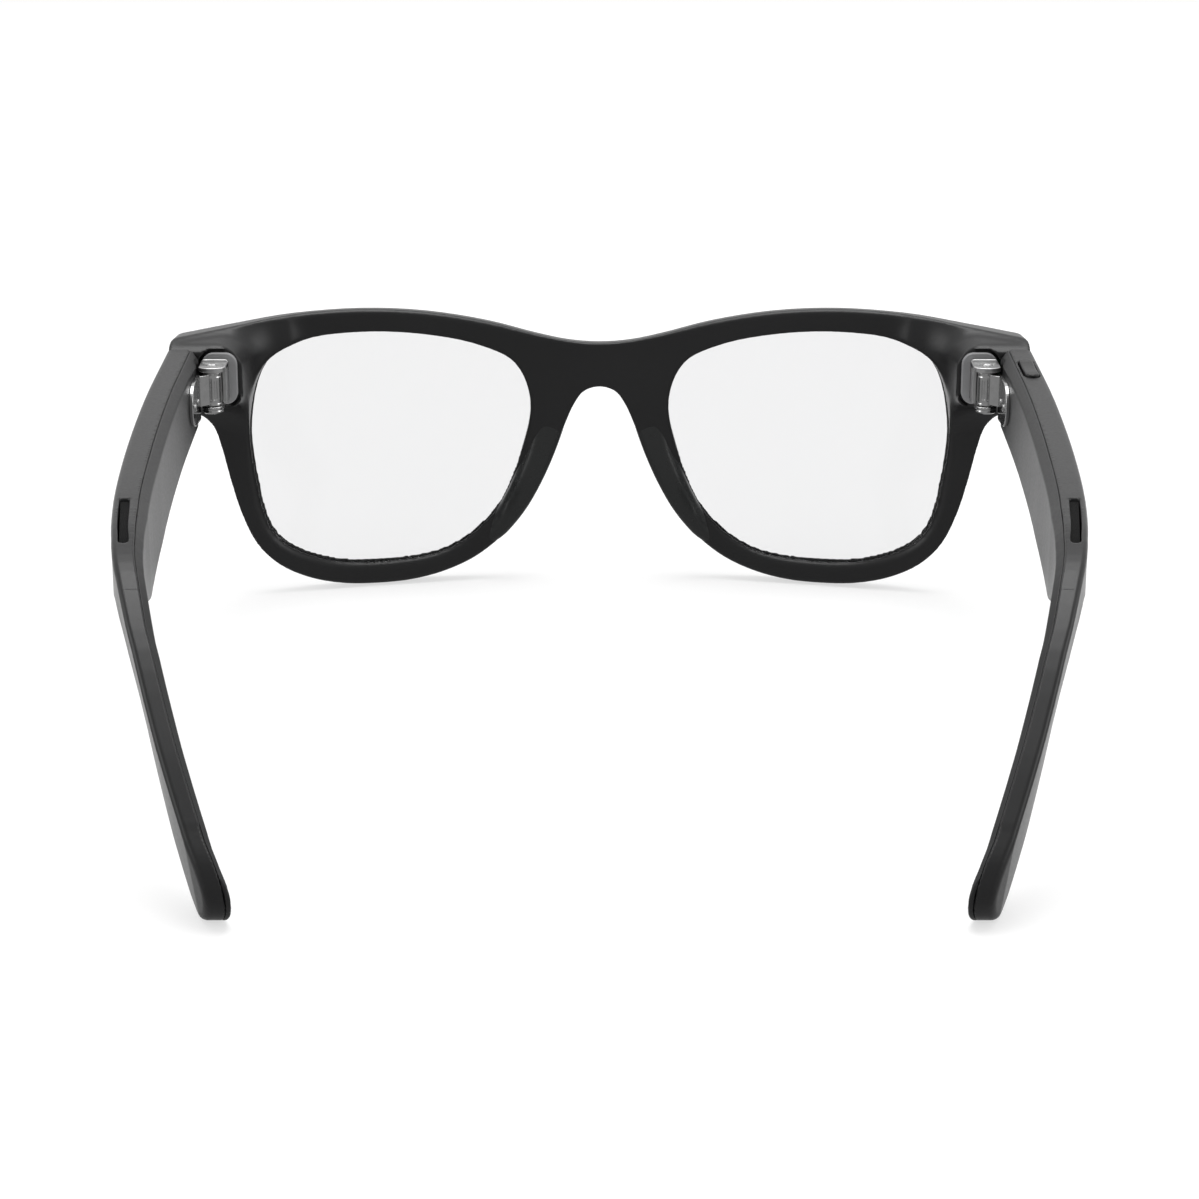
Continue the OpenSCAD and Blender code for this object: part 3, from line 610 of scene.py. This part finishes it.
# Back of the end piece, seen from above as (x, w), and its side view as (w, v)
BLOCK_CURVE = smooth_line([[53.4, -6.8], [55.6, -8.3], [57.3, -10.8], [58.4, -13.6], [59.1, -16.8],
                           [59.6, -22]], 5)
BLOCK_PLAN = np.array([*BLOCK_CURVE, [76, -22], [76, 0], [53.4, 0]])
BLOCK_SIDE = smooth_line([[0, 50], [-5, 46.7], [-12, 45.2], [-20.4, 43.4], [-22, 43], [-22, 39],
                          [-22, 34.4], [-20.4, 33.5], [-16.8, 33.3], [-13.5, 32.2], [-11, 30.1],
                          [-8.6, 27.3], [-5, 24.4], [0, 21]], 4)
EYE_X, EYE_V = 65.4, 38.4
EYE_RING_R, EYE_WINDOW_R, EYE_DEPTH = 3.9, 2.6, 1.2
EYE_SEAT_DEPTH = 9
BAY_PLATE_Y = BLOCK_END_Y + 1.2
BAY_X0, BAY_X1 = 59.9, FRONT_W / 2 - TEMPLE_T - 0.15
BAY_Z0, BAY_Z1, BAY_R = 35.6, 44.3, 2.0
BAY_GAP = 0.45
POCKET = (61, 68, 36.2, 43.2)
POCKET_MID, POCKET_HALF = 1.5, 2.5
GROOVE_GAP, GROOVE_SIDE_GAP = 0.05, 0.08


def end_block(x, v, w):
    """The thick end piece behind the rim, without its outer edges."""
    plan = polygon_field(*np.broadcast_arrays(x[:, :, 0], w[0]), BLOCK_PLAN)[:, None, :]
    side = polygon_field(*np.broadcast_arrays(w[0].T, v[:, :, 0]), BLOCK_SIDE).T[None, :, :]
    return meet(plan, side, 1.8 + 2.6 * ramp(v, 38, 42))


def front_field(x, v, w):
    """The whole right half of the front, hinge bay, pocket and lens groove included."""
    flat = np.broadcast_arrays(x[:, :, 0], v[:, :, 0])
    outline = polygon_field(*flat, OUTLINE)[:, :, None]
    opening = polygon_field(*flat, OPENING)[:, :, None]
    depth = face_w(x) - w
    fillet = 0.02 + (1.0 + 4.0 * ramp(v, 27, 37)) * ramp(x, 38, 46)
    rear = join(depth - RIM_T, end_block(x, v, w), fillet)
    shell = meet(outline, -depth, 1.5 - 1.1 * ramp(x, 46, 58))
    body = meet(shell, rear, 0.4 + 0.5 * ramp(x, 6, 20) - 0.55 * ramp(x, 50, 60))
    body = cut(body, opening, 0.45 + 1.35 * ramp(-v, -30, -14))
    y = w * math.cos(LEAN) + v * math.sin(LEAN)
    z = LIFT + v * math.cos(LEAN) - w * math.sin(LEAN)
    body = meet(body, BLOCK_END_Y - y, 0.25)
    off_middle = abs(depth - LENS_DEPTH - LENS_T / 2)
    groove = np.maximum(opening - LENS_BITE - GROOVE_GAP, off_middle - LENS_T / 2 - GROOVE_SIDE_GAP)
    body = np.maximum(body, -groove)
    bay = box_field(x, z, BAY_X0 - BAY_GAP, BAY_X1 + BAY_GAP, BAY_Z0 - BAY_GAP, BAY_Z1 + BAY_GAP,
                    BAY_R + BAY_GAP)
    body = cut(body, np.maximum(bay, y - BAY_PLATE_Y - 0.02), 0.2)
    pocket = np.maximum(box_field(x, z, *POCKET), abs(y - BAY_PLATE_Y - POCKET_MID) - POCKET_HALF)
    body = np.maximum(body, -pocket)
    away = np.hypot(x - EYE_X, v - EYE_V)
    body = cut(body, np.maximum(away - EYE_RING_R, depth - EYE_DEPTH), 0.15)
    return np.maximum(body, -np.maximum(away - EYE_WINDOW_R, depth - EYE_SEAT_DEPTH))


def grid_of(*axes):
    """Coordinates of a grid's points, one array for each axis."""
    return np.meshgrid(*axes, indexing="ij", sparse=True)


def make_front():
    """The front moulding, from its right half and the same mirrored."""
    step = 0.32
    xs, vs, ws = axis(0, 72.8, step), axis(-1, 49.4, step), axis(-22, 8.2, step)
    x, v, w = grid_of(xs, vs, ws)
    half = front_field(x, v, w)
    whole = np.concatenate([half[:0:-1], half])
    points, quads = field_mesh(whole, (step,) * 3, (-xs[-1], vs[0], ws[0]))
    solid("front_moulding", leaned(points), quads, MATERIALS["black_acetate"], "front", ["front_frame"])


make_front()


def pad_field(x, v, w):
    """A nose pad: the nasal rim swells backward, with its lens side well rounded."""
    flat = np.broadcast_arrays(x[:, :, 0], v[:, :, 0])
    outline = polygon_field(*flat, OUTLINE)[:, :, None]
    opening = polygon_field(*flat, OPENING)[:, :, None]
    depth = face_w(x) - w
    share = ramp(-x, -21.5, -16)
    along = v + 0.12 * (x - 9.8) ** 2 * ramp(v, 18, 24)
    rise = (lookup(along, PAD_RISE) + 0.5) * share - 0.5
    proud = 0.1 * ramp(-v, -27.4, -26.6) * share - 0.5 * (1 - share)
    top = (depth - RIM_T - rise) * 0.96
    pad = meet(meet(outline - proud, top, 0.9), 0.3 - opening, 2.8)
    return np.maximum(pad, RIM_T - 1.1 - depth)


def make_pads():
    step = 0.2
    xs, vs, ws = axis(3, 23, step), axis(3, 29, step), axis(-6, 6, step)
    field = pad_field(*grid_of(xs, vs, ws))
    points, quads = field_mesh(field, (step,) * 3, (xs[0], vs[0], ws[0]))
    for side, sign in SIDES.items():
        solid(f"pad_{side}", for_side(leaned(points), sign), quads, MATERIALS["nose_pad_plastic"], "front",
              [f"nose_pad_{side}"])


make_pads()


def grown(outline, d):
    """An outline moved outward along its own normals."""
    along = np.roll(outline, -1, axis=0) - np.roll(outline, 1, axis=0)
    out = np.stack([-along[:, 1], along[:, 0]], axis=1) / np.linalg.norm(along, axis=1)[:, None]
    return outline + d * out


def lens_disc(edge, front, start):
    """One face of a lens as rings from the edge to the middle. Its points count from start."""
    centre = edge.mean(axis=0)
    n = len(edge)
    sunk = LENS_DEPTH + (0 if front else LENS_T)
    points, faces = [], []
    for k in range(LENS_RINGS):
        s = 1 - k / LENS_RINGS
        ring = centre + (edge - centre) * s
        depth = sunk - LENS_CROWN * (1 - s * s)
        points += [[x, v, face_w(x) - depth] for x, v in ring]
    points.append([*centre, face_w(centre[0]) - sunk + LENS_CROWN])
    for k in range(LENS_RINGS - 1):
        outer, inner = start + k * n, start + (k + 1) * n
        faces += [[outer + i, outer + (i + 1) % n, inner + (i + 1) % n, inner + i] for i in range(n)]
    last = start + (LENS_RINGS - 1) * n
    faces += [[last + i, last + (i + 1) % n, last + n] for i in range(n)]
    return points, faces if front else [f[::-1] for f in faces]


def make_lenses():
    """Curved lenses with a small crown, and a plain wall round the edge between their two faces."""
    edge = grown(smooth_loop(OPENING_POINTS, 10), LENS_BITE)
    n = len(edge)
    back = LENS_RINGS * n + 1
    points, faces = lens_disc(edge, True, 0)
    back_points, back_faces = lens_disc(edge, False, back)
    points += back_points
    faces += back_faces
    faces += [[i, i + back, (i + 1) % n + back, (i + 1) % n] for i in range(n)]
    for side, sign in SIDES.items():
        solid(f"clear_lens_{side}", for_side(leaned(points), sign), faces, MATERIALS["lens_clear"], "front",
              [f"lens_{side}"])


make_lenses()


# ---- temples -------------------------------------------------------------------------

OUTER_FACE = smooth_line([[TEMPLE_FRONT, FRONT_W / 2], [-45, FRONT_W / 2 - 0.2], [-75, FRONT_W / 2 - 1.5],
                          [-100, FRONT_W / 2 - 3.6], [-115, FRONT_W / 2 - 6], [-128, FRONT_W / 2 - 10.3],
                          [-141, FRONT_W / 2 - 15.5], [TIP_Y - 1, FRONT_W / 2 - 22]], 5)
# Along y: share of the full depth, share of that where the seam is, and how far the ear part tilts
FULL_SHARE = [[-156, 0.64], [-128, 0.66], [-115, 0.79], [-100, 0.94], [-75, 1], [0, 1]]
SEAM_SHARE = [[-156, 0.76], [-100, 0.73], [0, 0.72]]
TILT = [[-127, 0.15], [-110, 0]]
TILT_Z = [[-150, 7], [-140, 15], [-130, 24.5], [-120, 31.5], [-110, 34.5]]
TOP_LINE = smooth_line([[TEMPLE_FRONT, 45], [-60, 42.7], [-100, 40.6], [-110, 39.6], [-119, 37],
                        [-128, 31.6], [-140, 21], [-148.6, 12.6]], 5)
TIP_LINE = smooth_line([[-148.6, 12.6], [-152.9, 7.9], [TIP_Y, 4.6], [-152.8, 1.6], [-149.6, 0],
                        [-146, 1.3]], 6)
BOTTOM_LINE = smooth_line([[-146, 1.3], [-139, 7.6], [-130, 17.6], [-122, 26.2], [-114.5, 30.4],
                           [-108.5, 29.8], [-103.5, 27.8], [-98, 26.9], [-60, 29.4], [TEMPLE_FRONT, 33]], 5)
TEMPLE_SIDE = np.concatenate([TOP_LINE[:-1], TIP_LINE[:-1], BOTTOM_LINE])
SLOPE = math.atan((45 - 42.7) / 43.4)

CAVITY = (-116, -36)
SLOT_Y0, SLOT_L, SLOT_W, SLOT_DEPTH = -96, 16.2, 1.4, 1.65
PORT = (-94, -88)
PORT_DEPTH, PORT_W = 2.0, 1.4
MIC_Y = -48
MIC_DEPTH, MIC_R = 2, 0.45
HOLE_RUN = 3
BUTTON_Y, BUTTON_X, BUTTON_L, BUTTON_W = -28.7, 69.2, 10, 2.2
BUTTON_PROUD, BUTTON_GAP, BUTTON_SUNK = 0.4, 0.15, 2.2
POWER_Y, POWER_DEPTH, POWER_W, POWER_L = -40, 1.9, 1.6, 4
POWER_GAP, POWER_TRAVEL = 0.2, 2
NOTCH_R = 2.7


def outer_x(y):
    return lookup(y, OUTER_FACE)


def full_d(y):
    return TEMPLE_T * lookup(y, FULL_SHARE)


def seam_d(y):
    return full_d(y) * lookup(y, SEAM_SHARE)


def top_z(y):
    return lookup(y, TOP_LINE)


def bottom_z(y):
    return lookup(y, BOTTOM_LINE)


def bent(p, near, far):
    """Points (y, height from the top line, share of the depth) as design points of the right temple."""
    y, z = p[:, 0], p[:, 1] + top_z(p[:, 0])
    d = near(y) + p[:, 2] * (far(y) - near(y))
    return np.stack([outer_x(y) - d + lookup(y, TILT) * (z - lookup(y, TILT_Z)), y, z], axis=-1)


def outer_shell_field(y, z, d, side, sign):
    """The hollow outer shell, with its slot, port and the opening of its control."""
    body = meet(meet(side, -d, 0.75), d - seam_d(y), 0.03)
    middle, half_high = (top_z(y) + bottom_z(y)) / 2, (top_z(y) - bottom_z(y)) / 2
    ends = np.maximum(CAVITY[0] - y, y - CAVITY[1])
    walls = np.maximum(WALL - d, abs(z - middle) - half_high + WALL + 0.1)
    body = np.maximum(body, -np.maximum(ends, walls))
    slot = box_field(y, d, SLOT_Y0 - SLOT_L, SLOT_Y0, SLOT_DEPTH - SLOT_W / 2, SLOT_DEPTH + SLOT_W / 2, 0.3)
    body = cut(body, np.maximum(slot, top_z(y) - 2.5 - z), 0.12)
    port = box_field(y, d, *PORT, PORT_DEPTH - PORT_W / 2, PORT_DEPTH + PORT_W / 2, 0.3)
    low_run = z - bottom_z(y) - HOLE_RUN
    body = cut(body, np.maximum(port, low_run), 0.12)
    body = np.maximum(body, -np.maximum(np.hypot(y - MIC_Y, d - MIC_DEPTH) - MIC_R, low_run))
    if sign > 0:
        return np.maximum(body, -button_pocket(y, z, d))
    half_l, half_w = POWER_L / 2 + POWER_GAP, POWER_W / 2 + POWER_GAP
    rail = box_field(y, d, POWER_Y - half_l, POWER_Y + half_l + POWER_TRAVEL, POWER_DEPTH - half_w,
                     POWER_DEPTH + half_w, 0.3)
    return cut(body, np.maximum(rail, low_run), 0.1)


def button_pocket(y, z, d):
    """The pill-shaped pocket of the capture button."""
    r = BUTTON_W / 2 + BUTTON_GAP
    x = outer_x(y) - d
    reach = BUTTON_L / 2 - BUTTON_W / 2
    away = np.hypot(x - BUTTON_X, np.maximum(abs(y - BUTTON_Y) - reach, 0)) - r
    return np.maximum(away, top_z(BUTTON_Y) - BUTTON_SUNK - z)


def inner_shell_field(y, z, d, side, sign):
    """The inner shell: a cover with a broad bevel along its top edge."""
    full = full_d(y)
    body = meet(side, seam_d(y) - d, 0.03)
    upper = ramp(z - (top_z(y) + bottom_z(y)) / 2, -1, 1)
    leg = (0.5 + 0.9 * upper) * lookup(y, [[-156, 0.7], [-110, 1], [0, 1]])
    body = meet(body, d - full, 0.2)
    body = meet(body, (side + d - full + leg) * math.sqrt(0.5), 0.12)
    if sign > 0:
        body = np.maximum(body, -button_pocket(y, z, d))
    notch = np.hypot(outer_x(y) - d - HINGE_X, y - HINGE_Y) - NOTCH_R
    return cut(body, notch, 0.1)


def no_depth(y):
    """The outer face is where depths start."""
    return 0 * y


SHELLS = {
    "outer": (outer_shell_field, no_depth, seam_d, "black_acetate"),
    "inner": (inner_shell_field, seam_d, full_d, "black_inner_plastic"),
}


def make_shells():
    """Both shells of both temples, on a grid that follows the temple's top line and depth."""
    steps = (0.4, 0.2, 1 / 14)
    ys, drops = axis(TIP_Y - 1.6, TEMPLE_FRONT + 1.2, steps[0]), np.arange(-77, 7) * steps[1]
    shares = np.arange(-3, 18) * steps[2]
    y, drop, share = grid_of(ys, drops, shares)
    z = drop + top_z(y)
    side = polygon_field(*np.broadcast_arrays(y[:, :, 0], z[:, :, 0]), TEMPLE_SIDE)[:, :, None]
    for part, (field, near, far, slot) in SHELLS.items():
        d = near(y) + share * (far(y) - near(y))
        for name, sign in SIDES.items():
            body = field(y, z, d, side, sign)
            points, quads = field_mesh(body, steps, (ys[0], drops[0], shares[0]))
            solid(f"temple_{part}_{name}", for_side(bent(points, near, far), sign), quads, MATERIALS[slot],
                  f"temple_{name}", [f"temple_{part}_shell_{name}"])


make_shells()


# ---- hinges --------------------------------------------------------------------------

INNER_X = FRONT_W / 2 - TEMPLE_T
HINGE_LOW, HINGE_HIGH = 35.1, 43.0
BARREL_LOW, BARREL_HIGH, BARREL_R = 36.4, 42.05, 1.6
KNUCKLE_R, KNUCKLE_GAP = 2.5, 0.15
WEB_X, WEB_T = HINGE_X - 2.4, 0.7
FLANGE_HIGH = 43.4
PANEL_ANGLE = -100
LEAF_T, LEAF_BACK, LEAF_NOSE = 0.7, -32, 4
LEAF_LOW, LEAF_HIGH = 34.8, 42
LEAF_FRONT = HINGE_Y - 2.8
LEAF_SCREW_YS, LEAF_SCREW_Z = (-25.4, -29.2), 38
SLOT_GAP = 0.2
PIN_R, AXIS_R = 0.7, 0.02


def box(x0, x1, y0, y1, z0, z1):
    """A plain block."""
    return prism([(x0, y0), (x1, y0), (x1, y1), (x0, y1)], z0, z1, upright)


def turned(profile):
    """A ring or round turned about the hinge's axis, from its (radius, z) profile."""
    return lathe(profile, (HINGE_X, HINGE_Y), upright, 64)


def make_bracket(side, sign):
    """The bracket: a top plate with the upper knuckle's round nose, a flange, a web and a lower arm."""
    r = KNUCKLE_R - 0.05
    corner = 1.9
    seat = BLOCK_END_Y - 0.1
    top = [(WEB_X, BLOCK_END_Y + 0.1)]
    top += arc(WEB_X + corner, HINGE_Y - r + corner, corner, 180, 270, 10)
    top += arc(HINGE_X, HINGE_Y, r, -90, -36, 10)
    top += [(INNER_X - 0.2, BLOCK_END_Y + 0.1)]
    plate = prism(top, HINGE_HIGH - 0.8, HINGE_HIGH, upright)
    flange_outline = round_rect(WEB_X, HINGE_LOW + 1.2, INNER_X - 0.3, FLANGE_HIGH, 0.5)
    flange = prism(flange_outline, BLOCK_END_Y - 0.8, BLOCK_END_Y + 0.05, facing)
    web = box(WEB_X, WEB_X + WEB_T, HINGE_Y + 0.25, seat, HINGE_LOW + 1.5, HINGE_HIGH - 0.1)
    low, high = HINGE_LOW, BARREL_LOW - KNUCKLE_GAP
    arm = box(HINGE_X - 1.6, HINGE_X + 1.0, HINGE_Y, seat, low + 0.1, high - 0.1)
    points, faces = merged(plate, flange, web, arm)
    piece = solid(f"bracket_{side}", for_side(points, sign), faces, SATIN_STEEL, "front",
                  [f"hinge_bracket_{side}"], smooth=False)
    bevel(piece, 0.14, 3)
    mid = (low + high) / 2
    ring = [(0.75, low), (1.45, low), (1.65, low + 0.15), (1.7, low + 0.25), (1.7, mid - 0.14),
            (1.58, mid - 0.06), (1.58, mid + 0.06), (1.7, mid + 0.14), (1.7, high - 0.12), (1.62, high),
            (0.75, high)]
    points, faces = turned(ring)
    solid(f"knuckle_low_{side}", for_side(points, sign), faces, MATERIALS["hinge_steel"], "front",
          [f"hinge_bracket_{side}"])


def band(z, start, end, soft):
    """1 between two heights, 0 outside them, soft at both."""
    return ramp(z, start, start + soft) - ramp(z, end - soft, end)


def barrel_radius(a, z):
    """Radius of the barrel, with its end rings and the flat panel pressed into its rear."""
    r = BARREL_R - 0.09 * band(z, BARREL_HIGH - 0.85, BARREL_HIGH - 0.5, 0.1)
    r -= 0.09 * band(z, BARREL_LOW + 0.35, BARREL_LOW + 0.65, 0.1)
    r -= 0.12 * ramp(z, BARREL_HIGH - 0.12, BARREL_HIGH)
    r -= 0.12 * ramp(-z, -BARREL_LOW - 0.12, -BARREL_LOW)
    off = abs(a - PANEL_ANGLE)
    panel = 1 - ramp(off, 26, 31)
    tall = band(z, BARREL_LOW + 1.0, BARREL_HIGH - 1.1, 0.15)
    spine = 1 - ramp(off, 5, 8)
    return r - 0.13 * panel * tall * (1 - spine)


def make_barrel(side, sign):
    """The temple's barrel, between the two knuckles of the front."""
    turns = 144
    zs = np.linspace(BARREL_LOW, BARREL_HIGH, 70)
    angles = np.linspace(-180, 180, turns, endpoint=False)
    points, faces = [], []
    for z in zs:
        for a, r in zip(np.radians(angles), barrel_radius(angles, z)):
            points.append([HINGE_X + r * math.cos(a), HINGE_Y + r * math.sin(a), z])
    for k in range(len(zs) - 1):
        low, high = k * turns, (k + 1) * turns
        faces += [[low + i, low + (i + 1) % turns, high + (i + 1) % turns, high + i] for i in range(turns)]
    faces += [list(range(turns))[::-1], [(len(zs) - 1) * turns + i for i in range(turns)]]
    solid(f"barrel_{side}", for_side(points, sign), faces, MATERIALS["hinge_steel"], f"temple_{side}",
          [f"hinge_leaf_{side}"])


def make_leaf(side, sign):
    """The D-shaped leaf on the temple's inner face, and the bridge from it to the barrel."""
    mid, half = (LEAF_LOW + LEAF_HIGH) / 2, (LEAF_HIGH - LEAF_LOW) / 2
    nose = []
    for a in np.radians(range(-90, 91, 6)):
        nose.append((LEAF_BACK + LEAF_NOSE * (1 - math.cos(a)), mid + half * math.sin(a)))
    outline = [(LEAF_FRONT, LEAF_LOW), *nose, (LEAF_FRONT, LEAF_HIGH)]
    plate = prism(outline, INNER_X - LEAF_T, INNER_X, across)
    outline = [(HINGE_X + 0.2, HINGE_Y - 0.5), (HINGE_X + 0.2, HINGE_Y - 1.55),
               (INNER_X - LEAF_T, HINGE_Y - 2.9), (INNER_X - 0.05, HINGE_Y - 2.9),
               (INNER_X - 0.05, HINGE_Y - 0.5)]
    bridge = prism(outline, BARREL_LOW + 0.25, BARREL_HIGH - 0.25, upright)
    points, faces = merged(plate, bridge)
    piece = solid(f"leaf_{side}", for_side(points, sign), faces, MATERIALS["hinge_steel"], f"temple_{side}",
                  [f"hinge_leaf_{side}"], smooth=False)
    bevel(piece, 0.15, 3)


def head_height(a, b, radius, height, slot):
    """Height of a slotted, slightly domed screw head at a place on it."""
    far = math.hypot(a, b) / radius
    dome = height * (1 - 0.35 * far ** 2) * (1 if far < 0.93 else 0.75)
    slotted = abs(b) < slot / 2 and abs(a) < 0.8 * radius
    return dome - (0.5 * height if slotted else 0)


def screw_top(centre, radius, height, place):
    """A low screw head as a grid of points over a disc."""
    rings, turns = 14, 48
    flat, faces = [(0.0, 0.0)], []
    for k in range(1, rings + 1):
        r = radius * k / rings
        for i in range(turns):
            a = 2 * math.pi * i / turns
            flat.append((r * math.cos(a), r * math.sin(a)))
    top = [place(centre[0] + a, centre[1] + b, head_height(a, b, radius, height, SLOT_GAP)) for a, b in flat]
    low = [place(centre[0] + a, centre[1] + b, -height) for a, b in flat[-turns:]]
    n = len(top)
    faces += [[0, 1 + i, 1 + (i + 1) % turns] for i in range(turns)]
    for k in range(rings - 1):
        a, b = 1 + k * turns, 1 + (k + 1) * turns
        faces += [[a + i, b + i, b + (i + 1) % turns, a + (i + 1) % turns] for i in range(turns)]
    last = 1 + (rings - 1) * turns
    faces += [[last + i, n + i, n + (i + 1) % turns, last + (i + 1) % turns] for i in range(turns)]
    faces.append([n + i for i in range(turns)][::-1])
    return top + low, faces


def on_knuckle(a, b, h):
    """The pin's head, sunk into the top of the upper knuckle."""
    return [a, b, HINGE_HIGH + max(h, -0.1)]


def on_leaf(a, b, h):
    """A screw's head on the leaf, drawn as (y, z) and standing out toward the head."""
    return [INNER_X - LEAF_T - 0.1 - h, a, b]


def in_temple(a, b, h):
    """A screw's shank, drawn as (y, z) and running from the leaf into the temple."""
    return [INNER_X - LEAF_T + h, a, b]


def make_pin(side, sign):
    """The hinge screw: a slotted head sunk on the top knuckle, and its shank down the barrel."""
    head = screw_top((HINGE_X, HINGE_Y), 0.8, 0.16, on_knuckle)
    low, high = HINGE_LOW + 0.1, HINGE_HIGH - 0.1
    shank = turned([(AXIS_R, low), (PIN_R, low), (PIN_R, high), (AXIS_R, high)])
    points, faces = merged(head, shank)
    solid(f"pin_{side}", for_side(points, sign), faces, MATERIALS["screw_steel"], "front",
          [f"hinge_screw_{side}"])


def make_leaf_screws(side, sign):
    """The two screws that hold a leaf to its temple."""
    shank = [(AXIS_R, -0.1), (0.5, -0.1), (0.5, 3.4), (AXIS_R, 3.4)]
    parts = [screw_top((y, LEAF_SCREW_Z), 0.65, 0.07, on_leaf) for y in LEAF_SCREW_YS]
    parts += [lathe(shank, (y, LEAF_SCREW_Z), in_temple, 24) for y in LEAF_SCREW_YS]
    points, faces = merged(*parts)
    solid(f"leaf_fixings_{side}", for_side(points, sign), faces, MATERIALS["screw_steel"], f"temple_{side}",
          [f"leaf_screws_{side}"])


def make_bay_plate(side, sign):
    """The grey plate that closes the hinge bay of the end piece."""
    outline = round_rect(BAY_X0 + 0.05, BAY_Z0 + 0.05, BAY_X1, BAY_Z1 - 0.05, BAY_R, 10)
    points, faces = prism(outline, BAY_PLATE_Y, BLOCK_END_Y + 0.05, facing)
    piece = solid(f"bay_cover_{side}", for_side(points, sign), faces, MATERIALS["bay_plate_grey"], "front",
                  [f"hinge_bay_plate_{side}"], smooth=False)
    bevel(piece, 0.2, 3)


for name, side_sign in SIDES.items():
    make_bracket(name, side_sign)
    make_barrel(name, side_sign)
    make_leaf(name, side_sign)
    make_pin(name, side_sign)
    make_leaf_screws(name, side_sign)
    make_bay_plate(name, side_sign)


# ---- controls --------------------------------------------------------------------------


def top_frame(p, x, y, z):
    """Points of a piece drawn flat, set on the slope of the temple's edge."""
    p = np.asarray(p, float)
    return np.stack([x + p[:, 0], y + p[:, 1] * math.cos(SLOPE) - p[:, 2] * math.sin(SLOPE),
                     z + p[:, 1] * math.sin(SLOPE) + p[:, 2] * math.cos(SLOPE)], axis=-1)


def make_button():
    """The capture button: a pill with a soft dished crown."""
    step = 0.11
    half_l, half_w = BUTTON_L / 2, BUTTON_W / 2
    xs = axis(-half_w - 0.5, half_w + 0.5, step)
    ys = axis(-half_l - 0.5, half_l + 0.5, step)
    zs = axis(-2.1, 1, step)
    x, y, z = grid_of(xs, ys, zs)
    away = np.hypot(x, np.maximum(abs(y) - half_l + half_w, 0)) - half_w
    crown = BUTTON_PROUD - 0.1 * (1 - np.minimum(1, (y / 3) ** 2))
    body = np.maximum(meet(away, z - crown, 0.3), -1.6 - z)
    points, quads = field_mesh(body, (step,) * 3, (xs[0], ys[0], zs[0]))
    points = top_frame(points, BUTTON_X, BUTTON_Y, top_z(BUTTON_Y))
    solid("press_button", points, quads, MATERIALS["control_black"], "capture_button", ["capture_button"])


def make_power_switch():
    """The slide switch: a thumb piece with rounded ribs."""
    step = 0.09
    xs, ys, zs = axis(-1.2, 1.2, step), axis(-2.5, 2.5, step), axis(-0.7, 1.6, step)
    x, y, z = grid_of(xs, ys, zs)
    plan = box_field(x, y, -POWER_W / 2, POWER_W / 2, -POWER_L / 2, POWER_L / 2, 0.35)
    ribs = 0.2 - 0.53 * (0.5 + 0.5 * np.cos(2 * math.pi * (y + 1.2) / 0.8)) * ramp(-abs(y), -1.7, -1.45)
    body = meet(meet(plan, ribs - z, 0.12), z - 1.3, 0.1)
    points, quads = field_mesh(body, (step,) * 3, (xs[0], ys[0], zs[0]))
    points = top_frame(points, float(outer_x(POWER_Y)) - POWER_DEPTH, POWER_Y, float(bottom_z(POWER_Y)))
    solid("slide_switch", for_side(points, SIDES["left"]), quads, MATERIALS["control_black"], "power_switch",
          ["power_switch"])


make_button()
make_power_switch()
